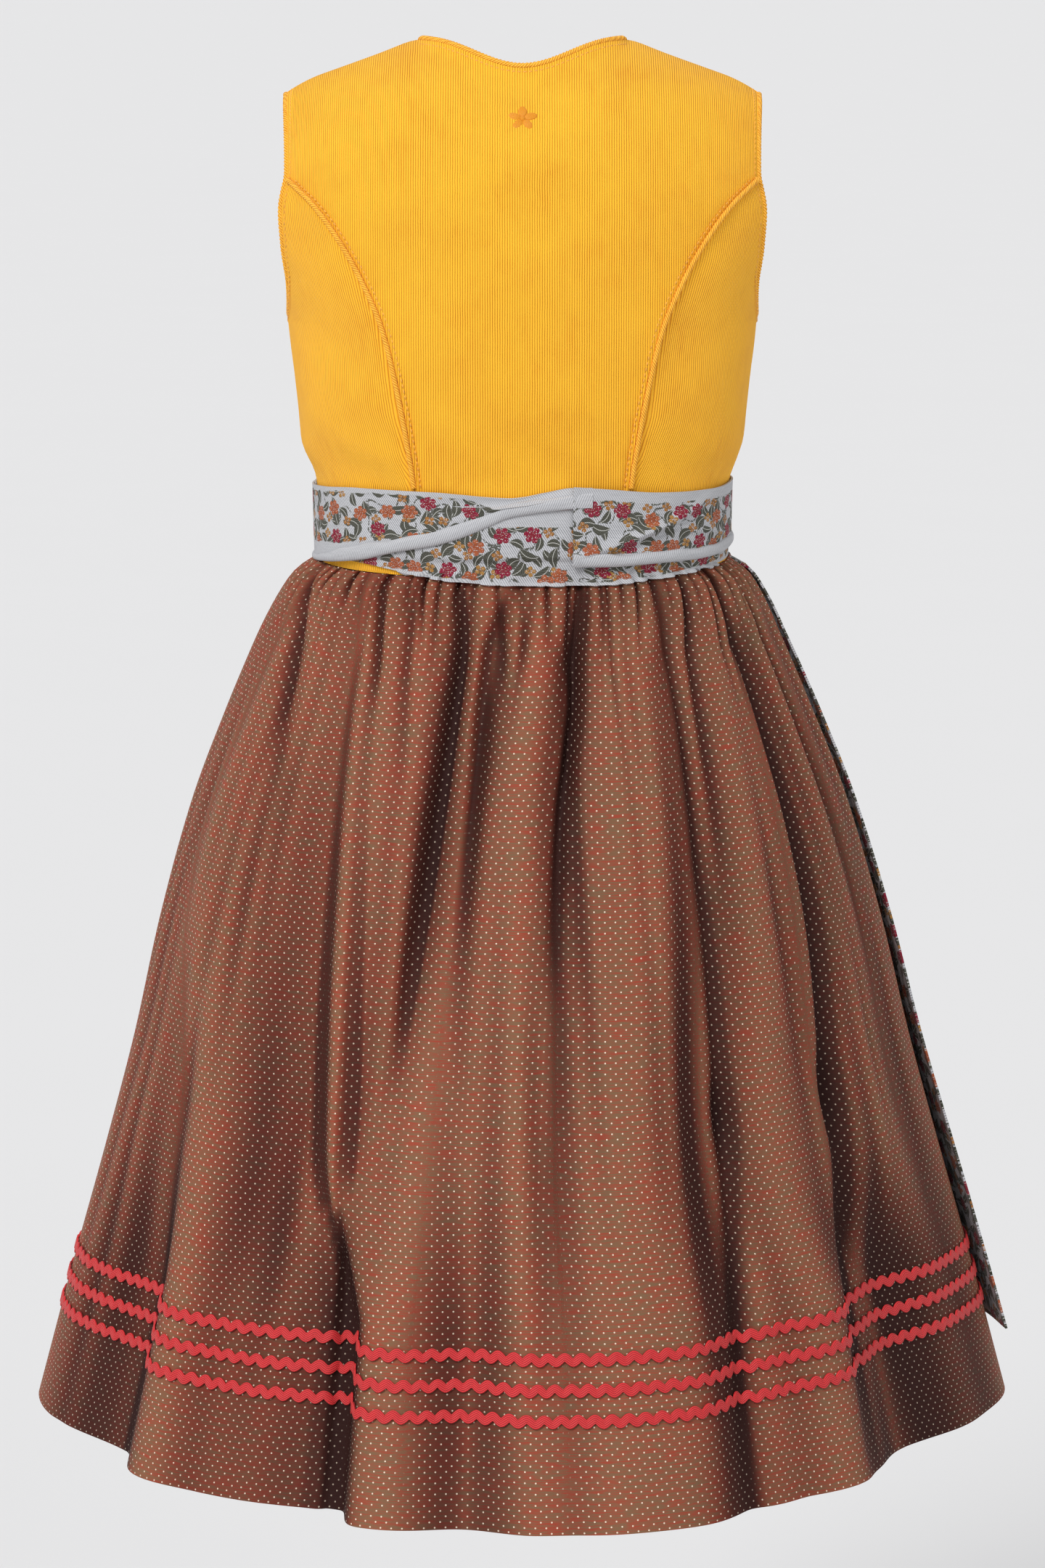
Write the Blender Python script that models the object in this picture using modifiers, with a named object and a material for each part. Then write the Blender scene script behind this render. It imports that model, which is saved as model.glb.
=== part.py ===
"""A girl's dirndl, worn shape with no wearer: corduroy bodice, gathered skirt, apron and its ties.

Metres, +Z up. The wearer faces -Y, so +Y is the back and +X the wearer's left.
The origin is where the shoulders carry the dress: level with the piping at the neck points
of the shoulder seams, over the middle of the body. Angles run round the body from +X (0 degrees)
through the back (90) and the wearer's right (180) to the front (270).
"""

import math
from collections import namedtuple

import bmesh
import bpy
import numpy as np
from mathutils import Vector

# Overall sizes
WAIST_Z = -0.2812  # the waist seam at the side
WAIST_DIP = 0.0035  # how much lower the seam hangs at centre back
HEM_Z = -0.7535
APRON_HEM_Z = -0.7180

# Cloth walls and the gaps between pieces
CORD_WALL = 0.0015
SKIRT_WALL = 0.0012
APRON_WALL = 0.0012
TIE_WALL = 0.0010
SEAM_GAP = 0.0004
SHOULDER_SEAM_GAP = 0.0007
LAP_GAP = 0.0006
LAY_GAP = 0.0003

# Shoulders, neck and armholes
NECK_HALF = 0.057
NECK_POINT_Z = -0.002
NECK_BACK_Y = 0.050
NECK_BACK_DIP = 0.0143
NECK_FRONT_Y = 0.086
NECK_FRONT_DIP = 0.078
NECK_CENTRE = np.array([0.0, 0.0, -0.1500])  # inside the bodice: cloth's inner side faces it
NECK_FRONT_AIM = (0.0, -0.060, 0.030)  # the panels' edges point this way at the neck
NECK_BACK_AIM = (0.0, 0.0, 0.050)
NECK_BACK_LEAN = 0.75  # how much the cloth leans forwards or back as it arrives at the neck
NECK_FRONT_LEAN = 0.35
NECK_BACK_CURVE = 2.4  # how flat the neckline's dip is
NECK_FRONT_CURVE = 0.45
NECK_LEVEL_OFF = 0.75  # how far the cloth has levelled off at the neck point
SHOULDER_RISE = 0.05  # and along the shoulder seam
SHOULDER_HALF = 0.1270
SHOULDER_SLOPE = math.tan(math.radians(19.5))
SHOULDER_ROUND_FROM = 0.108
SHOULDER_ROUND_DROP = 0.003
ARMHOLE_Z = -0.0895
ARMHOLE_HALF_HEIGHT = 0.0615
ARMHOLE_BACK = 0.046
ARMHOLE_FRONT = 0.052
YOKE_BACK_Z = -0.074
YOKE_FRONT_Z = -0.100
LAP_X = 0.010  # the right front laps this far past centre front
# the neck's cord is cut off this far before the lap's edge, and after it
PIPING_END_RIGHT, PIPING_END_LEFT = 0.0003, 0.0011
SIDE_RADIUS = 0.09  # from the middle to the side seam, to turn its gap into an angle
BACK_PANEL_DEG = 35  # from centre back to the princess seam at the waist

# Piping, trims and fastenings
PIPING_R = 0.0016
PRINCESS_PIPING_R = 0.0013
PIPING_CLEAR = 0.0002  # a cord bends less closely than the edge beside it
BUTTON_R = 0.0065
BUTTON_THICK = 0.003
BUTTON_TAPER = 0.0008
BUTTON_SIDES = 10
BUTTONS = 6
BUTTON_TOP_Z = -0.092
BUTTON_FOOT_Z = -0.228
PIPING_FOOT_Z = -0.2372  # the princess piping goes under the bands here
PIPING_TOP_Z = -0.0785
MITRE_LEAST = 0.8  # a cord widens its bend at a corner of the edge, but not past this
RICRAC_ABOVE_HEM = (0.0575, 0.0732, 0.0890)  # middle of each braid, along the cloth
RICRAC_TALL = 0.0075
RICRAC_THICK = 0.0012
RICRAC_GAP = 0.0007

# A body of superellipses: x = a cos^e, y = b sin^e, squarer than an ellipse where e is under 1
BODY_POWER = 0.87
HEM_POWER = 1.08

Section = namedtuple("Section", "z half_width back_depth front_depth")

BODICE = [
    Section(-0.2900, 0.1112, 0.0795, 0.0835),
    Section(-0.2620, 0.1119, 0.0800, 0.0845),
    Section(-0.2400, 0.1124, 0.0805, 0.0860),
    Section(-0.2160, 0.1204, 0.0840, 0.0890),
    Section(-0.1920, 0.1232, 0.0880, 0.0930),
    Section(-0.1510, 0.1272, 0.0915, 0.0965),
    Section(-0.1300, 0.1322, 0.0918, 0.0965),
    Section(-0.1100, 0.1394, 0.0910, 0.0950),
    Section(-0.0900, 0.1430, 0.0893, 0.0928),
    Section(-0.0740, 0.1396, 0.0870, 0.0900),
]

SKIRT = [
    Section(-0.2800, 0.1113, 0.0796, 0.0838),
    Section(-0.2850, 0.1180, 0.0800, 0.0850),
    Section(-0.2910, 0.1250, 0.0825, 0.0900),
    Section(-0.3013, 0.1324, 0.0960, 0.1010),
    Section(-0.3185, 0.1421, 0.1163, 0.1173),
    Section(-0.3409, 0.1528, 0.1316, 0.1306),
    Section(-0.3684, 0.1650, 0.1450, 0.1440),
    Section(-0.4176, 0.1838, 0.1630, 0.1620),
    Section(-0.4816, 0.2016, 0.1825, 0.1805),
    Section(-0.5472, 0.2162, 0.2020, 0.2000),
    Section(-0.6143, 0.2343, 0.2235, 0.2200),
    Section(-0.6689, 0.2500, 0.2425, 0.2375),
    Section(HEM_Z, 0.2730, 0.2700, 0.2610),
]

# Levels of the skirt's points: close together where it is gathered, wider below
GATHER_LEVELS = (0.0, 0.0065, 0.0170, 0.0345, 0.0580)  # below the waist seam
DRAPE_LEVELS = (-0.367, -0.420, -0.480, -0.531, -0.581, -0.627, -0.6595, -0.706, HEM_Z)
COARSE_COLUMNS = 96
FINE_COLUMNS = 2 * COARSE_COLUMNS
BACK_CLOSER = 0.20  # the share by which columns are closer together at the back
Wave = namedtuple("Wave", "size rate start")
COLUMNS_UNEVEN = (Wave(0.40, 7, 1.0), Wave(0.22, 13, 2.0))  # degrees, waves round the skirt
GATHERS_UNEVEN = (Wave(0.30, 2.3, 0.0), Wave(0.18, 5.1, 1.0))  # of depth, radians a gather
COLUMNS_PER_GATHER = 3

# How deep the crease of an average gather is at each of the gather levels
GATHER_DEPTHS = (0.0005, 0.0014, 0.0024, 0.0027, 0.0019)

# The skirt's long folds, as valleys: their angles and depths (mm) at the waist, a third of the
# way down, at two thirds and at the hem, and how far they spread before and after that angle
Valley = namedtuple(
    "Valley",
    "waist_deg third_deg lower_deg hem_deg waist_mm third_mm lower_mm hem_mm before_deg after_deg",
)

VALLEYS = [
    Valley(22, 18, 30, 31, 4, 3, 8, 20, 14, 5),
    Valley(26, 44, 50, 48, 6, 1, 3, 4, 5, 9),
    Valley(50, 56, 59, 65.8, 2, 7, 11, 20, 12, 2),
    Valley(78, 74, 70, 69, 7, 9, 6, 0, 4, 4),
    Valley(87, 79, 76, 75, 8, 8, 2, 0, 4, 4),
    Valley(88, 84, 81, 82, 0, 5, 8, 12, 6, 8),
    Valley(103, 96, 95, 96, 8, 8, 5, 3, 5, 4),
    Valley(124, 121, 118, 120, 8, 10, 13, 12, 5, 8),
    Valley(133, 127, 126, 128, 5, 5, 2, 8, 4, 8),
    Valley(148, 144, 141, 148, 9, 14, 14, 30, 11, 15),
    Valley(168, 164, 162, 168, 4, 5, 6, 4, 6, 7),
    Valley(181, 182, 183, 184, 4, 5, 1, 0, 7, 9),
    Valley(197, 198, 200, 201, 3, 6, 8, 11, 9, 9),
    Valley(220, 221, 222, 223, 4, 6, 8, 12, 9, 9),
    Valley(243, 244, 244, 245, 3, 5, 8, 10, 9, 9),
    Valley(264, 263, 262, 262, 3, 5, 7, 9, 9, 9),
    Valley(284, 284, 285, 285, 3, 6, 9, 11, 9, 9),
    Valley(306, 305, 304, 304, 4, 6, 9, 12, 9, 9),
    Valley(327, 327, 328, 329, 4, 7, 10, 13, 9, 9),
    Valley(347, 348, 349, 350, 3, 5, 7, 10, 8, 6),
]
FOLD_STATIONS = (0.0, 0.30, 0.62, 0.80)
FOLD_START = 0.09  # the share of the skirt's height in which the long folds begin
FOLD_AT_WAIST = 0.05  # and how much of their depth they have at the seam

# The skirt's section turns from the body's squarish oval to a pointed one at the hem
SKIRT_POWERS = ((HEM_Z, HEM_POWER), (-0.5000, 1.04), (-0.3300, 1.00), (-0.2850, BODY_POWER))

# The run of the skirt that carries the braids
BRAID_LEVELS = (-0.706, -0.6595)

# The princess seams: how far out from centre back they lie at each height
Seam = namedtuple("Seam", "z offset")
PRINCESS = [
    Seam(-0.2900, 0.0562),
    Seam(-0.2404, 0.0575),
    Seam(-0.2115, 0.0614),
    Seam(-0.1822, 0.0668),
    Seam(-0.1532, 0.0737),
    Seam(-0.1275, 0.0845),
    Seam(-0.1057, 0.0970),
    Seam(-0.0875, 0.1108),
    Seam(-0.0740, 0.1257),
]

# Levels of the bodice's points below the armhole, and up each side of it
SIDE_LEVELS = (-0.262, -0.240, -0.216, -0.192, -0.170, -0.151)
ARMHOLE_LEVELS = (-0.1475, -0.139, -0.127, -0.114)
FRONT_LEVELS = (*SIDE_LEVELS, *ARMHOLE_LEVELS, YOKE_FRONT_Z)
BACK_LEVELS = (*FRONT_LEVELS, -0.0875, -0.0775)
SIDE_PANEL_CELLS = 4
NECK_COLUMNS = (0.0, 0.40, 0.76, 0.94, 1.0)  # shares of the way from the middle to the neck point
BACK_NECK_COLUMNS = (0.0, 0.36, 0.70, 1.0)
SHOULDER_COLUMNS = (0.36, 0.72, 1.0)  # and from there to the shoulder's tip
YOKE_STEPS = (0.17, 0.36, 0.56, 0.76, 0.91, 1.0)  # shares of the way over the shoulder
LEAN_STEP = 0.008  # the height over which the cloth's lean below the yoke is measured
ARCH_FULLNESS = 1.05

# The apron reaches from just behind the wearer's right side to in front of the left side
APRON_FROM_DEG = 178.5
APRON_TO_DEG = 333.0
APRON_OUT = 0.0036  # over the braids, and less above them
APRON_OUT_ABOVE = 0.0021
APRON_TOP_OUT = 0.0024
APRON_EDGE_FLARE = 0.0060  # how far its free edge stands off at the hem
APRON_EDGE_COLUMNS = 1.2  # and over how many columns that dies away
APRON_FULL_OUT_AT = 1 / 1.2  # the share of its height by which it lies fully out
APRON_GATHER_SHARE = 0.6

# The bands round the waist: their layers' outer faces over the bodice, and where the edges run
LAYER_INNER = TIE_WALL + LAY_GAP
LAYER_OUTER = 2 * TIE_WALL + 2 * LAY_GAP
LAYER_TOP = 3 * TIE_WALL + 3 * LAY_GAP
BAND_TOP_Z = -0.2402
BAND_BOTTOM_Z = -0.2800
BAND_STEP_DEG = 6
BAND_STEP_LEAST = 0.2  # no column is nearer a band's end than this share of a step
WAISTBAND_SPAN = (174, 366)
BAND_ROWS = (0.0, 0.5, 1.0)
BAND_UNDER_ROWS = (0.0, 0.45, 0.76, 1.0)  # the last turns out over the gathers
BAND_OVER_SKIRT = 0.0009
BAND_TURNS_OUT_Z = -0.2818

BandEdge = namedtuple("BandEdge", "deg top bottom")

# Across the back from the wearer's left (0 degrees) to the right (180)
TIE_UNDER = [
    BandEdge(6, -0.2440, -0.2785),
    BandEdge(24, -0.2450, -0.2775),
    BandEdge(42, -0.2460, -0.2788),
    BandEdge(58, -0.2460, -0.2822),
    BandEdge(76, -0.2460, -0.2868),
    BandEdge(90, -0.2460, -0.2885),
    BandEdge(104, -0.2460, -0.2885),
    BandEdge(120, -0.2460, -0.2850),
    BandEdge(138, -0.2460, -0.2808),
    BandEdge(156, -0.2450, -0.2782),
    BandEdge(174, -0.2440, -0.2785),
]
TIE_LEFT = [
    BandEdge(-87, -0.2440, -0.2790),
    BandEdge(-45, -0.2430, -0.2793),
    BandEdge(-22, -0.2420, -0.2797),
    BandEdge(0, -0.2411, -0.2812),
    BandEdge(24, -0.2398, -0.2795),
    BandEdge(42, -0.2385, -0.2765),
    BandEdge(57, -0.2388, -0.2708),
    BandEdge(69, -0.2396, -0.2655),
    BandEdge(82, -0.2420, -0.2590),
    BandEdge(92, -0.2425, -0.2545),
    BandEdge(106, -0.2390, -0.2505),
]
TIE_RIGHT = [
    BandEdge(101, -0.2357, -0.2779),
    BandEdge(110, -0.2372, -0.2779),
    BandEdge(126, -0.2398, -0.2769),
    BandEdge(140, -0.2404, -0.2766),
    BandEdge(158, -0.2400, -0.2752),
    BandEdge(174, -0.2385, -0.2725),
    BandEdge(225, -0.2400, -0.2770),
    BandEdge(267, -0.2440, -0.2790),
]
TIE_RIGHT_LIFT_TO_DEG = 124.0  # its free edge rides on the left tie as far as this
TIE_RIGHT_FLAT_FROM_DEG = 140.0

# The bow in front
KNOT = (0.020, 0.012, 0.027)
KNOT_ROUND = 0.0042
KNOT_BACK_Y = -0.0869
KNOT_Z = -0.2613
LOOP_REACH = 0.064
LOOP_TALL = 0.034
LOOP_DEEP = 0.017
LOOP_DROOP = 0.008
LOOP_PINCH = 0.55  # how tall it is at the knot, as a share of its full height
LOOP_FULL_AT = 1 / 1.4  # and how far out it has that full height
LOOP_ROWS = 4
LOOP_COLUMNS = 14
TAIL_TOP_Y = -0.0945
TAIL_LEVELS = (-0.2925, -0.3010, -0.3180, -0.3390, -0.3660, -0.3960, -0.4320, -0.4650)
TAIL_HALF_TOP = 0.0065
TAIL_HALF_END = 0.0165
TAIL_SPREAD = 0.034
TAIL_SPREAD_CURVE = 0.8
TAIL_WIDE_AT = 0.5  # the share of its length by which it is at its full width
TAIL_OUT = 0.0036

COLOURS = {
    "corduroy": ((0.86, 0.44, 0.05), 0.85),
    "piping_cord": ((0.80, 0.38, 0.04), 0.85),
    "skirt_cotton": ((0.22, 0.09, 0.05), 0.80),
    "ricrac_braid": ((0.60, 0.02, 0.02), 0.75),
    "apron_jacquard": ((0.52, 0.50, 0.49), 0.80),
    "button_horn": ((0.55, 0.33, 0.12), 0.40),
}


def clear_scene():
    for thing in list(bpy.data.objects):
        bpy.data.objects.remove(thing, do_unlink=True)


def make_materials():
    made = {}
    for name, (colour, roughness) in COLOURS.items():
        material = bpy.data.materials.new(name)
        material.use_nodes = True
        shader = material.node_tree.nodes["Principled BSDF"]
        shader.inputs["Base Color"].default_value = (*colour, 1.0)
        shader.inputs["Roughness"].default_value = roughness
        shader.inputs["Metallic"].default_value = 0.0
        material.diffuse_color = (*colour, 1.0)
        made[name] = material
    return made


def smooth(xs, ys, x):
    """A smooth curve through the rows of a table, read at x, with no overshoot."""
    xs, ys = np.asarray(xs, float), np.asarray(ys, float)
    if xs[0] > xs[-1]:
        xs, ys = xs[::-1], ys[::-1]
    steps = np.diff(xs)
    slopes = np.diff(ys) / steps
    tangents = np.zeros(len(xs))
    tangents[0], tangents[-1] = slopes[0], slopes[-1]
    for i in range(1, len(xs) - 1):
        if slopes[i - 1] * slopes[i] > 0:
            before, after = steps[i - 1], steps[i]
            w1, w2 = 2 * after + before, after + 2 * before
            tangents[i] = (w1 + w2) / (w1 / slopes[i - 1] + w2 / slopes[i])
    x = min(max(x, xs[0]), xs[-1])
    i = min(max(int(np.searchsorted(xs, x)) - 1, 0), len(xs) - 2)
    h = steps[i]
    t = (x - xs[i]) / h
    return float(
        ys[i] * (1 + 2 * t) * (1 - t) ** 2
        + tangents[i] * h * t * (1 - t) ** 2
        + ys[i + 1] * t * t * (3 - 2 * t)
        + tangents[i + 1] * h * t * t * (t - 1)
    )


def column_of(table, column, key, x):
    """One named column of a table, as a smooth function of another."""
    return smooth([getattr(r, key) for r in table], [getattr(r, column) for r in table], x)


def power(value, exponent):
    return math.copysign(abs(value) ** exponent, value)


def ring(table, degrees, z, exponent):
    """A point of the horizontal section at height z, and the outward direction there."""
    angle = math.radians(degrees)
    c, s = math.cos(angle), math.sin(angle)
    a = column_of(table, "half_width", "z", z)
    b = column_of(table, "back_depth" if s >= 0 else "front_depth", "z", z)
    point = np.array([a * power(c, exponent), b * power(s, exponent), z])
    k = 2 / exponent - 1
    out = np.array([power(point[0] / a, k) / a, power(point[1] / b, k) / b, 0.0])
    return point, out / np.linalg.norm(out)


def bodice_point(degrees, z):
    return ring(BODICE, degrees, z, BODY_POWER)[0]


def bodice_out(degrees, z, distance):
    point, out = ring(BODICE, degrees, z, BODY_POWER)
    return point + out * distance


def degrees_at(x, z):
    """The angle, from 0 to 90, at which the bodice's section at z is x from the middle."""
    a = column_of(BODICE, "half_width", "z", z)
    return math.degrees(math.acos(min(1.0, (abs(x) / a) ** (1 / BODY_POWER))))


def armhole_degrees(z, back):
    """The angle of the armhole's edge at height z: 0 at its foot and below."""
    rise = (z - ARMHOLE_Z) / ARMHOLE_HALF_HEIGHT
    if rise <= -1:
        return 0.0
    reach = (ARMHOLE_BACK if back else ARMHOLE_FRONT) * math.sqrt(1 - rise * rise)
    depth = column_of(BODICE, "back_depth" if back else "front_depth", "z", z)
    return math.degrees(math.asin((reach / depth) ** (1 / BODY_POWER)))


def shoulder_z(x):
    rounded = max(0.0, x - SHOULDER_ROUND_FROM) / (SHOULDER_HALF - SHOULDER_ROUND_FROM)
    return NECK_POINT_Z - SHOULDER_SLOPE * (x - NECK_HALF) - SHOULDER_ROUND_DROP * rounded**2


def top_line(x, back):
    """The top of a panel x out from the middle, the neckline or the shoulder seam, and the
    direction in which the cloth arrives there."""
    forward = -1.0 if back else 1.0
    gap = -forward * SHOULDER_SEAM_GAP / 2
    if x >= NECK_HALF:
        return np.array([x, gap, shoulder_z(x)]), np.array([0.0, forward, SHOULDER_RISE])
    share = x / NECK_HALF
    depth, dip = (NECK_BACK_Y, NECK_BACK_DIP) if back else (NECK_FRONT_Y, NECK_FRONT_DIP)
    y = -forward * depth * math.sqrt(1 - share**2)
    if back:
        fall, lean = math.cos(share * math.pi / 2) ** NECK_BACK_CURVE, NECK_BACK_LEAN
    else:
        fall, lean = (1 - share**2) ** NECK_FRONT_CURVE, NECK_FRONT_LEAN
    turned = share**3
    arrival = [0.0, forward * (lean + (1 - lean) * turned), 1 - NECK_LEVEL_OFF * turned]
    return np.array([x, y + gap * share, NECK_POINT_Z - dip * fall]), np.array(arrival)


def arch(start, leave, end, arrive, t):
    """A cubic from start to end that leaves and arrives in the given directions."""
    reach = ARCH_FULLNESS * np.linalg.norm(end - start)
    leave = leave / np.linalg.norm(leave) * reach
    arrive = arrive / np.linalg.norm(arrive) * reach
    return (
        start * (1 + 2 * t) * (1 - t) ** 2
        + leave * t * (1 - t) ** 2
        + end * t * t * (3 - 2 * t)
        + arrive * t * t * (t - 1)
    )


def yoke_column(x, back):
    """The part of a column above the yoke level, x out from the middle at that level."""
    z = YOKE_BACK_Z if back else YOKE_FRONT_Z
    edge = bodice_point(armhole_degrees(z, back), z)[0]
    degrees = degrees_at(x, z) * (1 if back else -1)
    start = bodice_point(degrees, z)
    end, arrive = top_line(x * SHOULDER_HALF / edge, back)
    below = bodice_point(degrees_at(x, z - LEAN_STEP) * (1 if back else -1), z - LEAN_STEP)
    leave = np.array([0.0, (start - below)[1] / LEAN_STEP, 1.0])
    return [arch(start, leave, end, arrive, t) for t in YOKE_STEPS]


def seam_level(degrees):
    """The height of the waist seam at an angle: lower at centre back."""
    return WAIST_Z - WAIST_DIP * max(0.0, math.sin(math.radians(degrees)))


def mirrored(points):
    """The same grid on the other side of the body."""
    return [[np.array([-p[0], p[1], p[2]]) for p in row] for row in points]


def lay_grid(mesh, points, wraps=False, closes=False):
    """A Blender grid, one face for each cell, bent onto the rows of points. wraps joins the
    last column to the first, and closes the last row to the first."""
    rows, columns = len(points), len(points[0])
    made = bmesh.ops.create_grid(mesh, x_segments=columns - 1, y_segments=rows - 1, size=0.5)
    placed = {}
    for vert in made["verts"]:
        column = round((vert.co.x + 0.5) * (columns - 1))
        row = round((vert.co.y + 0.5) * (rows - 1))
        placed[row, column] = vert
    for (row, column), vert in placed.items():
        vert.co = points[row][column]
    ends = {}
    if wraps:
        ends.update({placed[r, columns - 1]: placed[r, 0] for r in range(rows)})
    if closes:
        ends.update({placed[rows - 1, c]: placed[0, c] for c in range(columns - 1)})
        ends[placed[rows - 1, columns - 1]] = placed[0, 0]
    if ends:
        bmesh.ops.weld_verts(mesh, targetmap=ends)
    return placed


def face_outwards(mesh, middle=(0.0, 0.0)):
    """Turns the faces so that most of them look away from the upright line through middle."""
    facing = 0.0
    for face in mesh.faces:
        centre = face.calc_center_median()
        x, y = centre.x - middle[0], centre.y - middle[1]
        facing += face.calc_area() * (face.normal.x * x + face.normal.y * y)
    if facing < 0:
        bmesh.ops.reverse_faces(mesh, faces=mesh.faces)


def finish_mesh(name, mesh, material, collection, wall=None):
    data = bpy.data.meshes.new(name)
    mesh.to_mesh(data)
    mesh.free()
    data.shade_smooth()
    thing = bpy.data.objects.new(name, data)
    collection.objects.link(thing)
    data.materials.append(material)
    if wall:
        solidify = thing.modifiers.new("wall", "SOLIDIFY")
        solidify.thickness = wall
        solidify.offset = -1.0
    return thing


def cloth_panel(name, points, wall, material, collection, wraps=False, middle=(0.0, 0.0)):
    """An open sheet through rows of points, with the cloth's thickness inwards."""
    mesh = bmesh.new()
    lay_grid(mesh, points, wraps)
    mesh.normal_update()
    face_outwards(mesh, middle)
    return finish_mesh(name, mesh, material, collection, wall)


def cord(name, path, radius, material, collection, closed):
    """A piping cord along a path."""
    curve = bpy.data.curves.new(name, "CURVE")
    curve.dimensions = "3D"
    curve.bevel_depth = radius
    curve.bevel_resolution = 0
    curve.use_fill_caps = not closed
    spline = curve.splines.new("POLY")
    spline.points.add(len(path) - 1)
    for point, place in zip(spline.points, path):
        point.co = (*place, 1.0)
    spline.use_cyclic_u = closed
    curve.materials.append(material)
    thing = bpy.data.objects.new(name, curve)
    collection.objects.link(thing)
    return thing


def back_centre_points():
    """Rows from the waist to the neck and shoulders, columns from right to left."""
    neck_share = NECK_HALF / SHOULDER_HALF
    shares = [neck_share * s for s in BACK_NECK_COLUMNS]
    shares += [neck_share + (1 - neck_share) * s for s in SHOULDER_COLUMNS]
    rows = []
    for z in (None, *BACK_LEVELS, YOKE_BACK_Z):
        row = []
        for share in shares:
            level = z
            if level is None:
                level = seam_level(90 - BACK_PANEL_DEG * share) + LAY_GAP
            inset = SEAM_GAP / 2 if level < YOKE_BACK_Z else 0.0
            x = share * (column_of(PRINCESS, "offset", "z", level) - inset)
            row.append(bodice_point(degrees_at(x, level), level))
        rows.append(row)
    edge = rows[-1][-1][0]
    columns = [yoke_column(share * edge, True) for share in shares]
    rows += [list(row) for row in zip(*columns)]
    return [m[:0:-1] + r for m, r in zip(mirrored(rows), rows)]


def back_side_points():
    """The left side panel: columns from the princess seam to the side seam and armhole."""
    rows = []
    for z in (None, *BACK_LEVELS):
        sample = WAIST_Z if z is None else z
        inner = degrees_at(column_of(PRINCESS, "offset", "z", sample) + SEAM_GAP / 2, sample)
        outer = armhole_degrees(sample, True) + math.degrees(SEAM_GAP / 2 / SIDE_RADIUS)
        row = []
        for k in range(SIDE_PANEL_CELLS + 1):
            degrees = inner + (outer - inner) * k / SIDE_PANEL_CELLS
            level = seam_level(degrees) + LAY_GAP if z is None else z
            row.append(bodice_point(degrees, level))
        rows.append(row)
    return rows


def front_points(side):
    """One front: columns from centre front to the side seam and armhole. side is 1 for the
    left front, which stops at the lap, and -1 for the right, which passes centre front."""
    lap = LAP_X + LAP_GAP / 2 if side > 0 else -(LAP_X - LAP_GAP / 2)
    yoke_edge = bodice_point(armhole_degrees(YOKE_FRONT_Z, False), YOKE_FRONT_Z)[0]
    neck_share = (NECK_HALF / SHOULDER_HALF * yoke_edge - lap) / (yoke_edge - lap)
    shares = [neck_share * s for s in NECK_COLUMNS]
    shares += [neck_share + (1 - neck_share) * s for s in SHOULDER_COLUMNS[:-1]]

    def place(x, z):
        degrees = -degrees_at(x, z)
        return bodice_point(degrees if x >= 0 else -180 - degrees, z)

    rows = []
    for z in (WAIST_Z + LAY_GAP, *FRONT_LEVELS):
        outer = armhole_degrees(z, False) + math.degrees(SEAM_GAP / 2 / SIDE_RADIUS)
        edge = bodice_point(-outer, z)[0]
        row = [place(lap + (edge - lap) * share, z) for share in shares]
        turn = degrees_at(lap + (edge - lap) * shares[-1], z)
        row += [bodice_point(-(turn + outer) / 2, z), bodice_point(-outer, z)]
        rows.append(row)
    columns = []
    for point in rows[-1]:
        column = yoke_column(abs(point[0]), False)
        flip = -1.0 if point[0] < 0 else 1.0
        columns.append([p * np.array([flip, 1.0, 1.0]) for p in column])
    rows += [list(row) for row in zip(*columns)]
    return rows if side > 0 else mirrored(rows)


def beside_edge(edges, radius, closed):
    """The middle line of a cord that lies just past an edge, half a wall inwards. edges pairs
    each point of the edge with a point of the panel next to it."""
    count = len(edges)
    path = []
    for i, (edge, inside) in enumerate(edges):
        before = edges[i - 1][0] if i or closed else edge
        after = edges[(i + 1) % count][0] if i < count - 1 or closed else edge
        arriving, leaving = edge - before, after - edge
        along = (after - before) / np.linalg.norm(after - before)
        away = edge - inside
        away = away - along * (away @ along)
        away = away / np.linalg.norm(away)
        reach = radius + LAY_GAP + PIPING_CLEAR
        if arriving.any() and leaving.any():
            turn = arriving @ leaving / np.linalg.norm(arriving) / np.linalg.norm(leaving)
            reach /= max(MITRE_LEAST, math.sqrt((1 + turn) / 2))
        inward = np.cross(along, away)
        if inward @ (edge - NECK_CENTRE) > 0:
            inward = -inward
        path.append(edge + away * reach + inward * CORD_WALL / 2)
    return path


def neck_path(back, front_left, front_right):
    """Round the neck from the lap's edge over both shoulders."""
    count = len(back[-1])
    point = len(SHOULDER_COLUMNS)  # the neck point's column
    fronts = range(len(NECK_COLUMNS) - 1)
    places = [(front_right[-1][c], NECK_FRONT_AIM) for c in fronts]
    places += [(back[-1][c], NECK_BACK_AIM) for c in range(point, count - point)]
    places += [(front_left[-1][c], NECK_FRONT_AIM) for c in reversed(fronts)]
    edges = [(edge, 2 * edge - np.array(aim)) for edge, aim in places]
    path = beside_edge(edges, PIPING_R, False)
    path[0] = moved_to(path[0], path[1], LAP_X - PIPING_END_RIGHT)
    path[-1] = moved_to(path[-1], path[-2], LAP_X + PIPING_END_LEFT)
    return path


def moved_to(point, other, x):
    """The point at x of the line through two points."""
    return point + (other - point) * (x - point[0]) / (other - point)[0]


def build_bodice(materials, collection):
    centre = back_centre_points()
    left = back_side_points()
    front_left, front_right = front_points(1), front_points(-1)
    cloth = materials["corduroy"]
    cloth_panel("bodice_back_centre", centre, CORD_WALL, cloth, collection)
    cloth_panel("bodice_back_side_left", left, CORD_WALL, cloth, collection)
    cloth_panel("bodice_back_side_right", mirrored(left), CORD_WALL, cloth, collection)
    cloth_panel("bodice_front_left", front_left, CORD_WALL, cloth, collection)
    cloth_panel("bodice_front_right", front_right, CORD_WALL, cloth, collection)
    return centre, left, front_left, front_right


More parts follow.
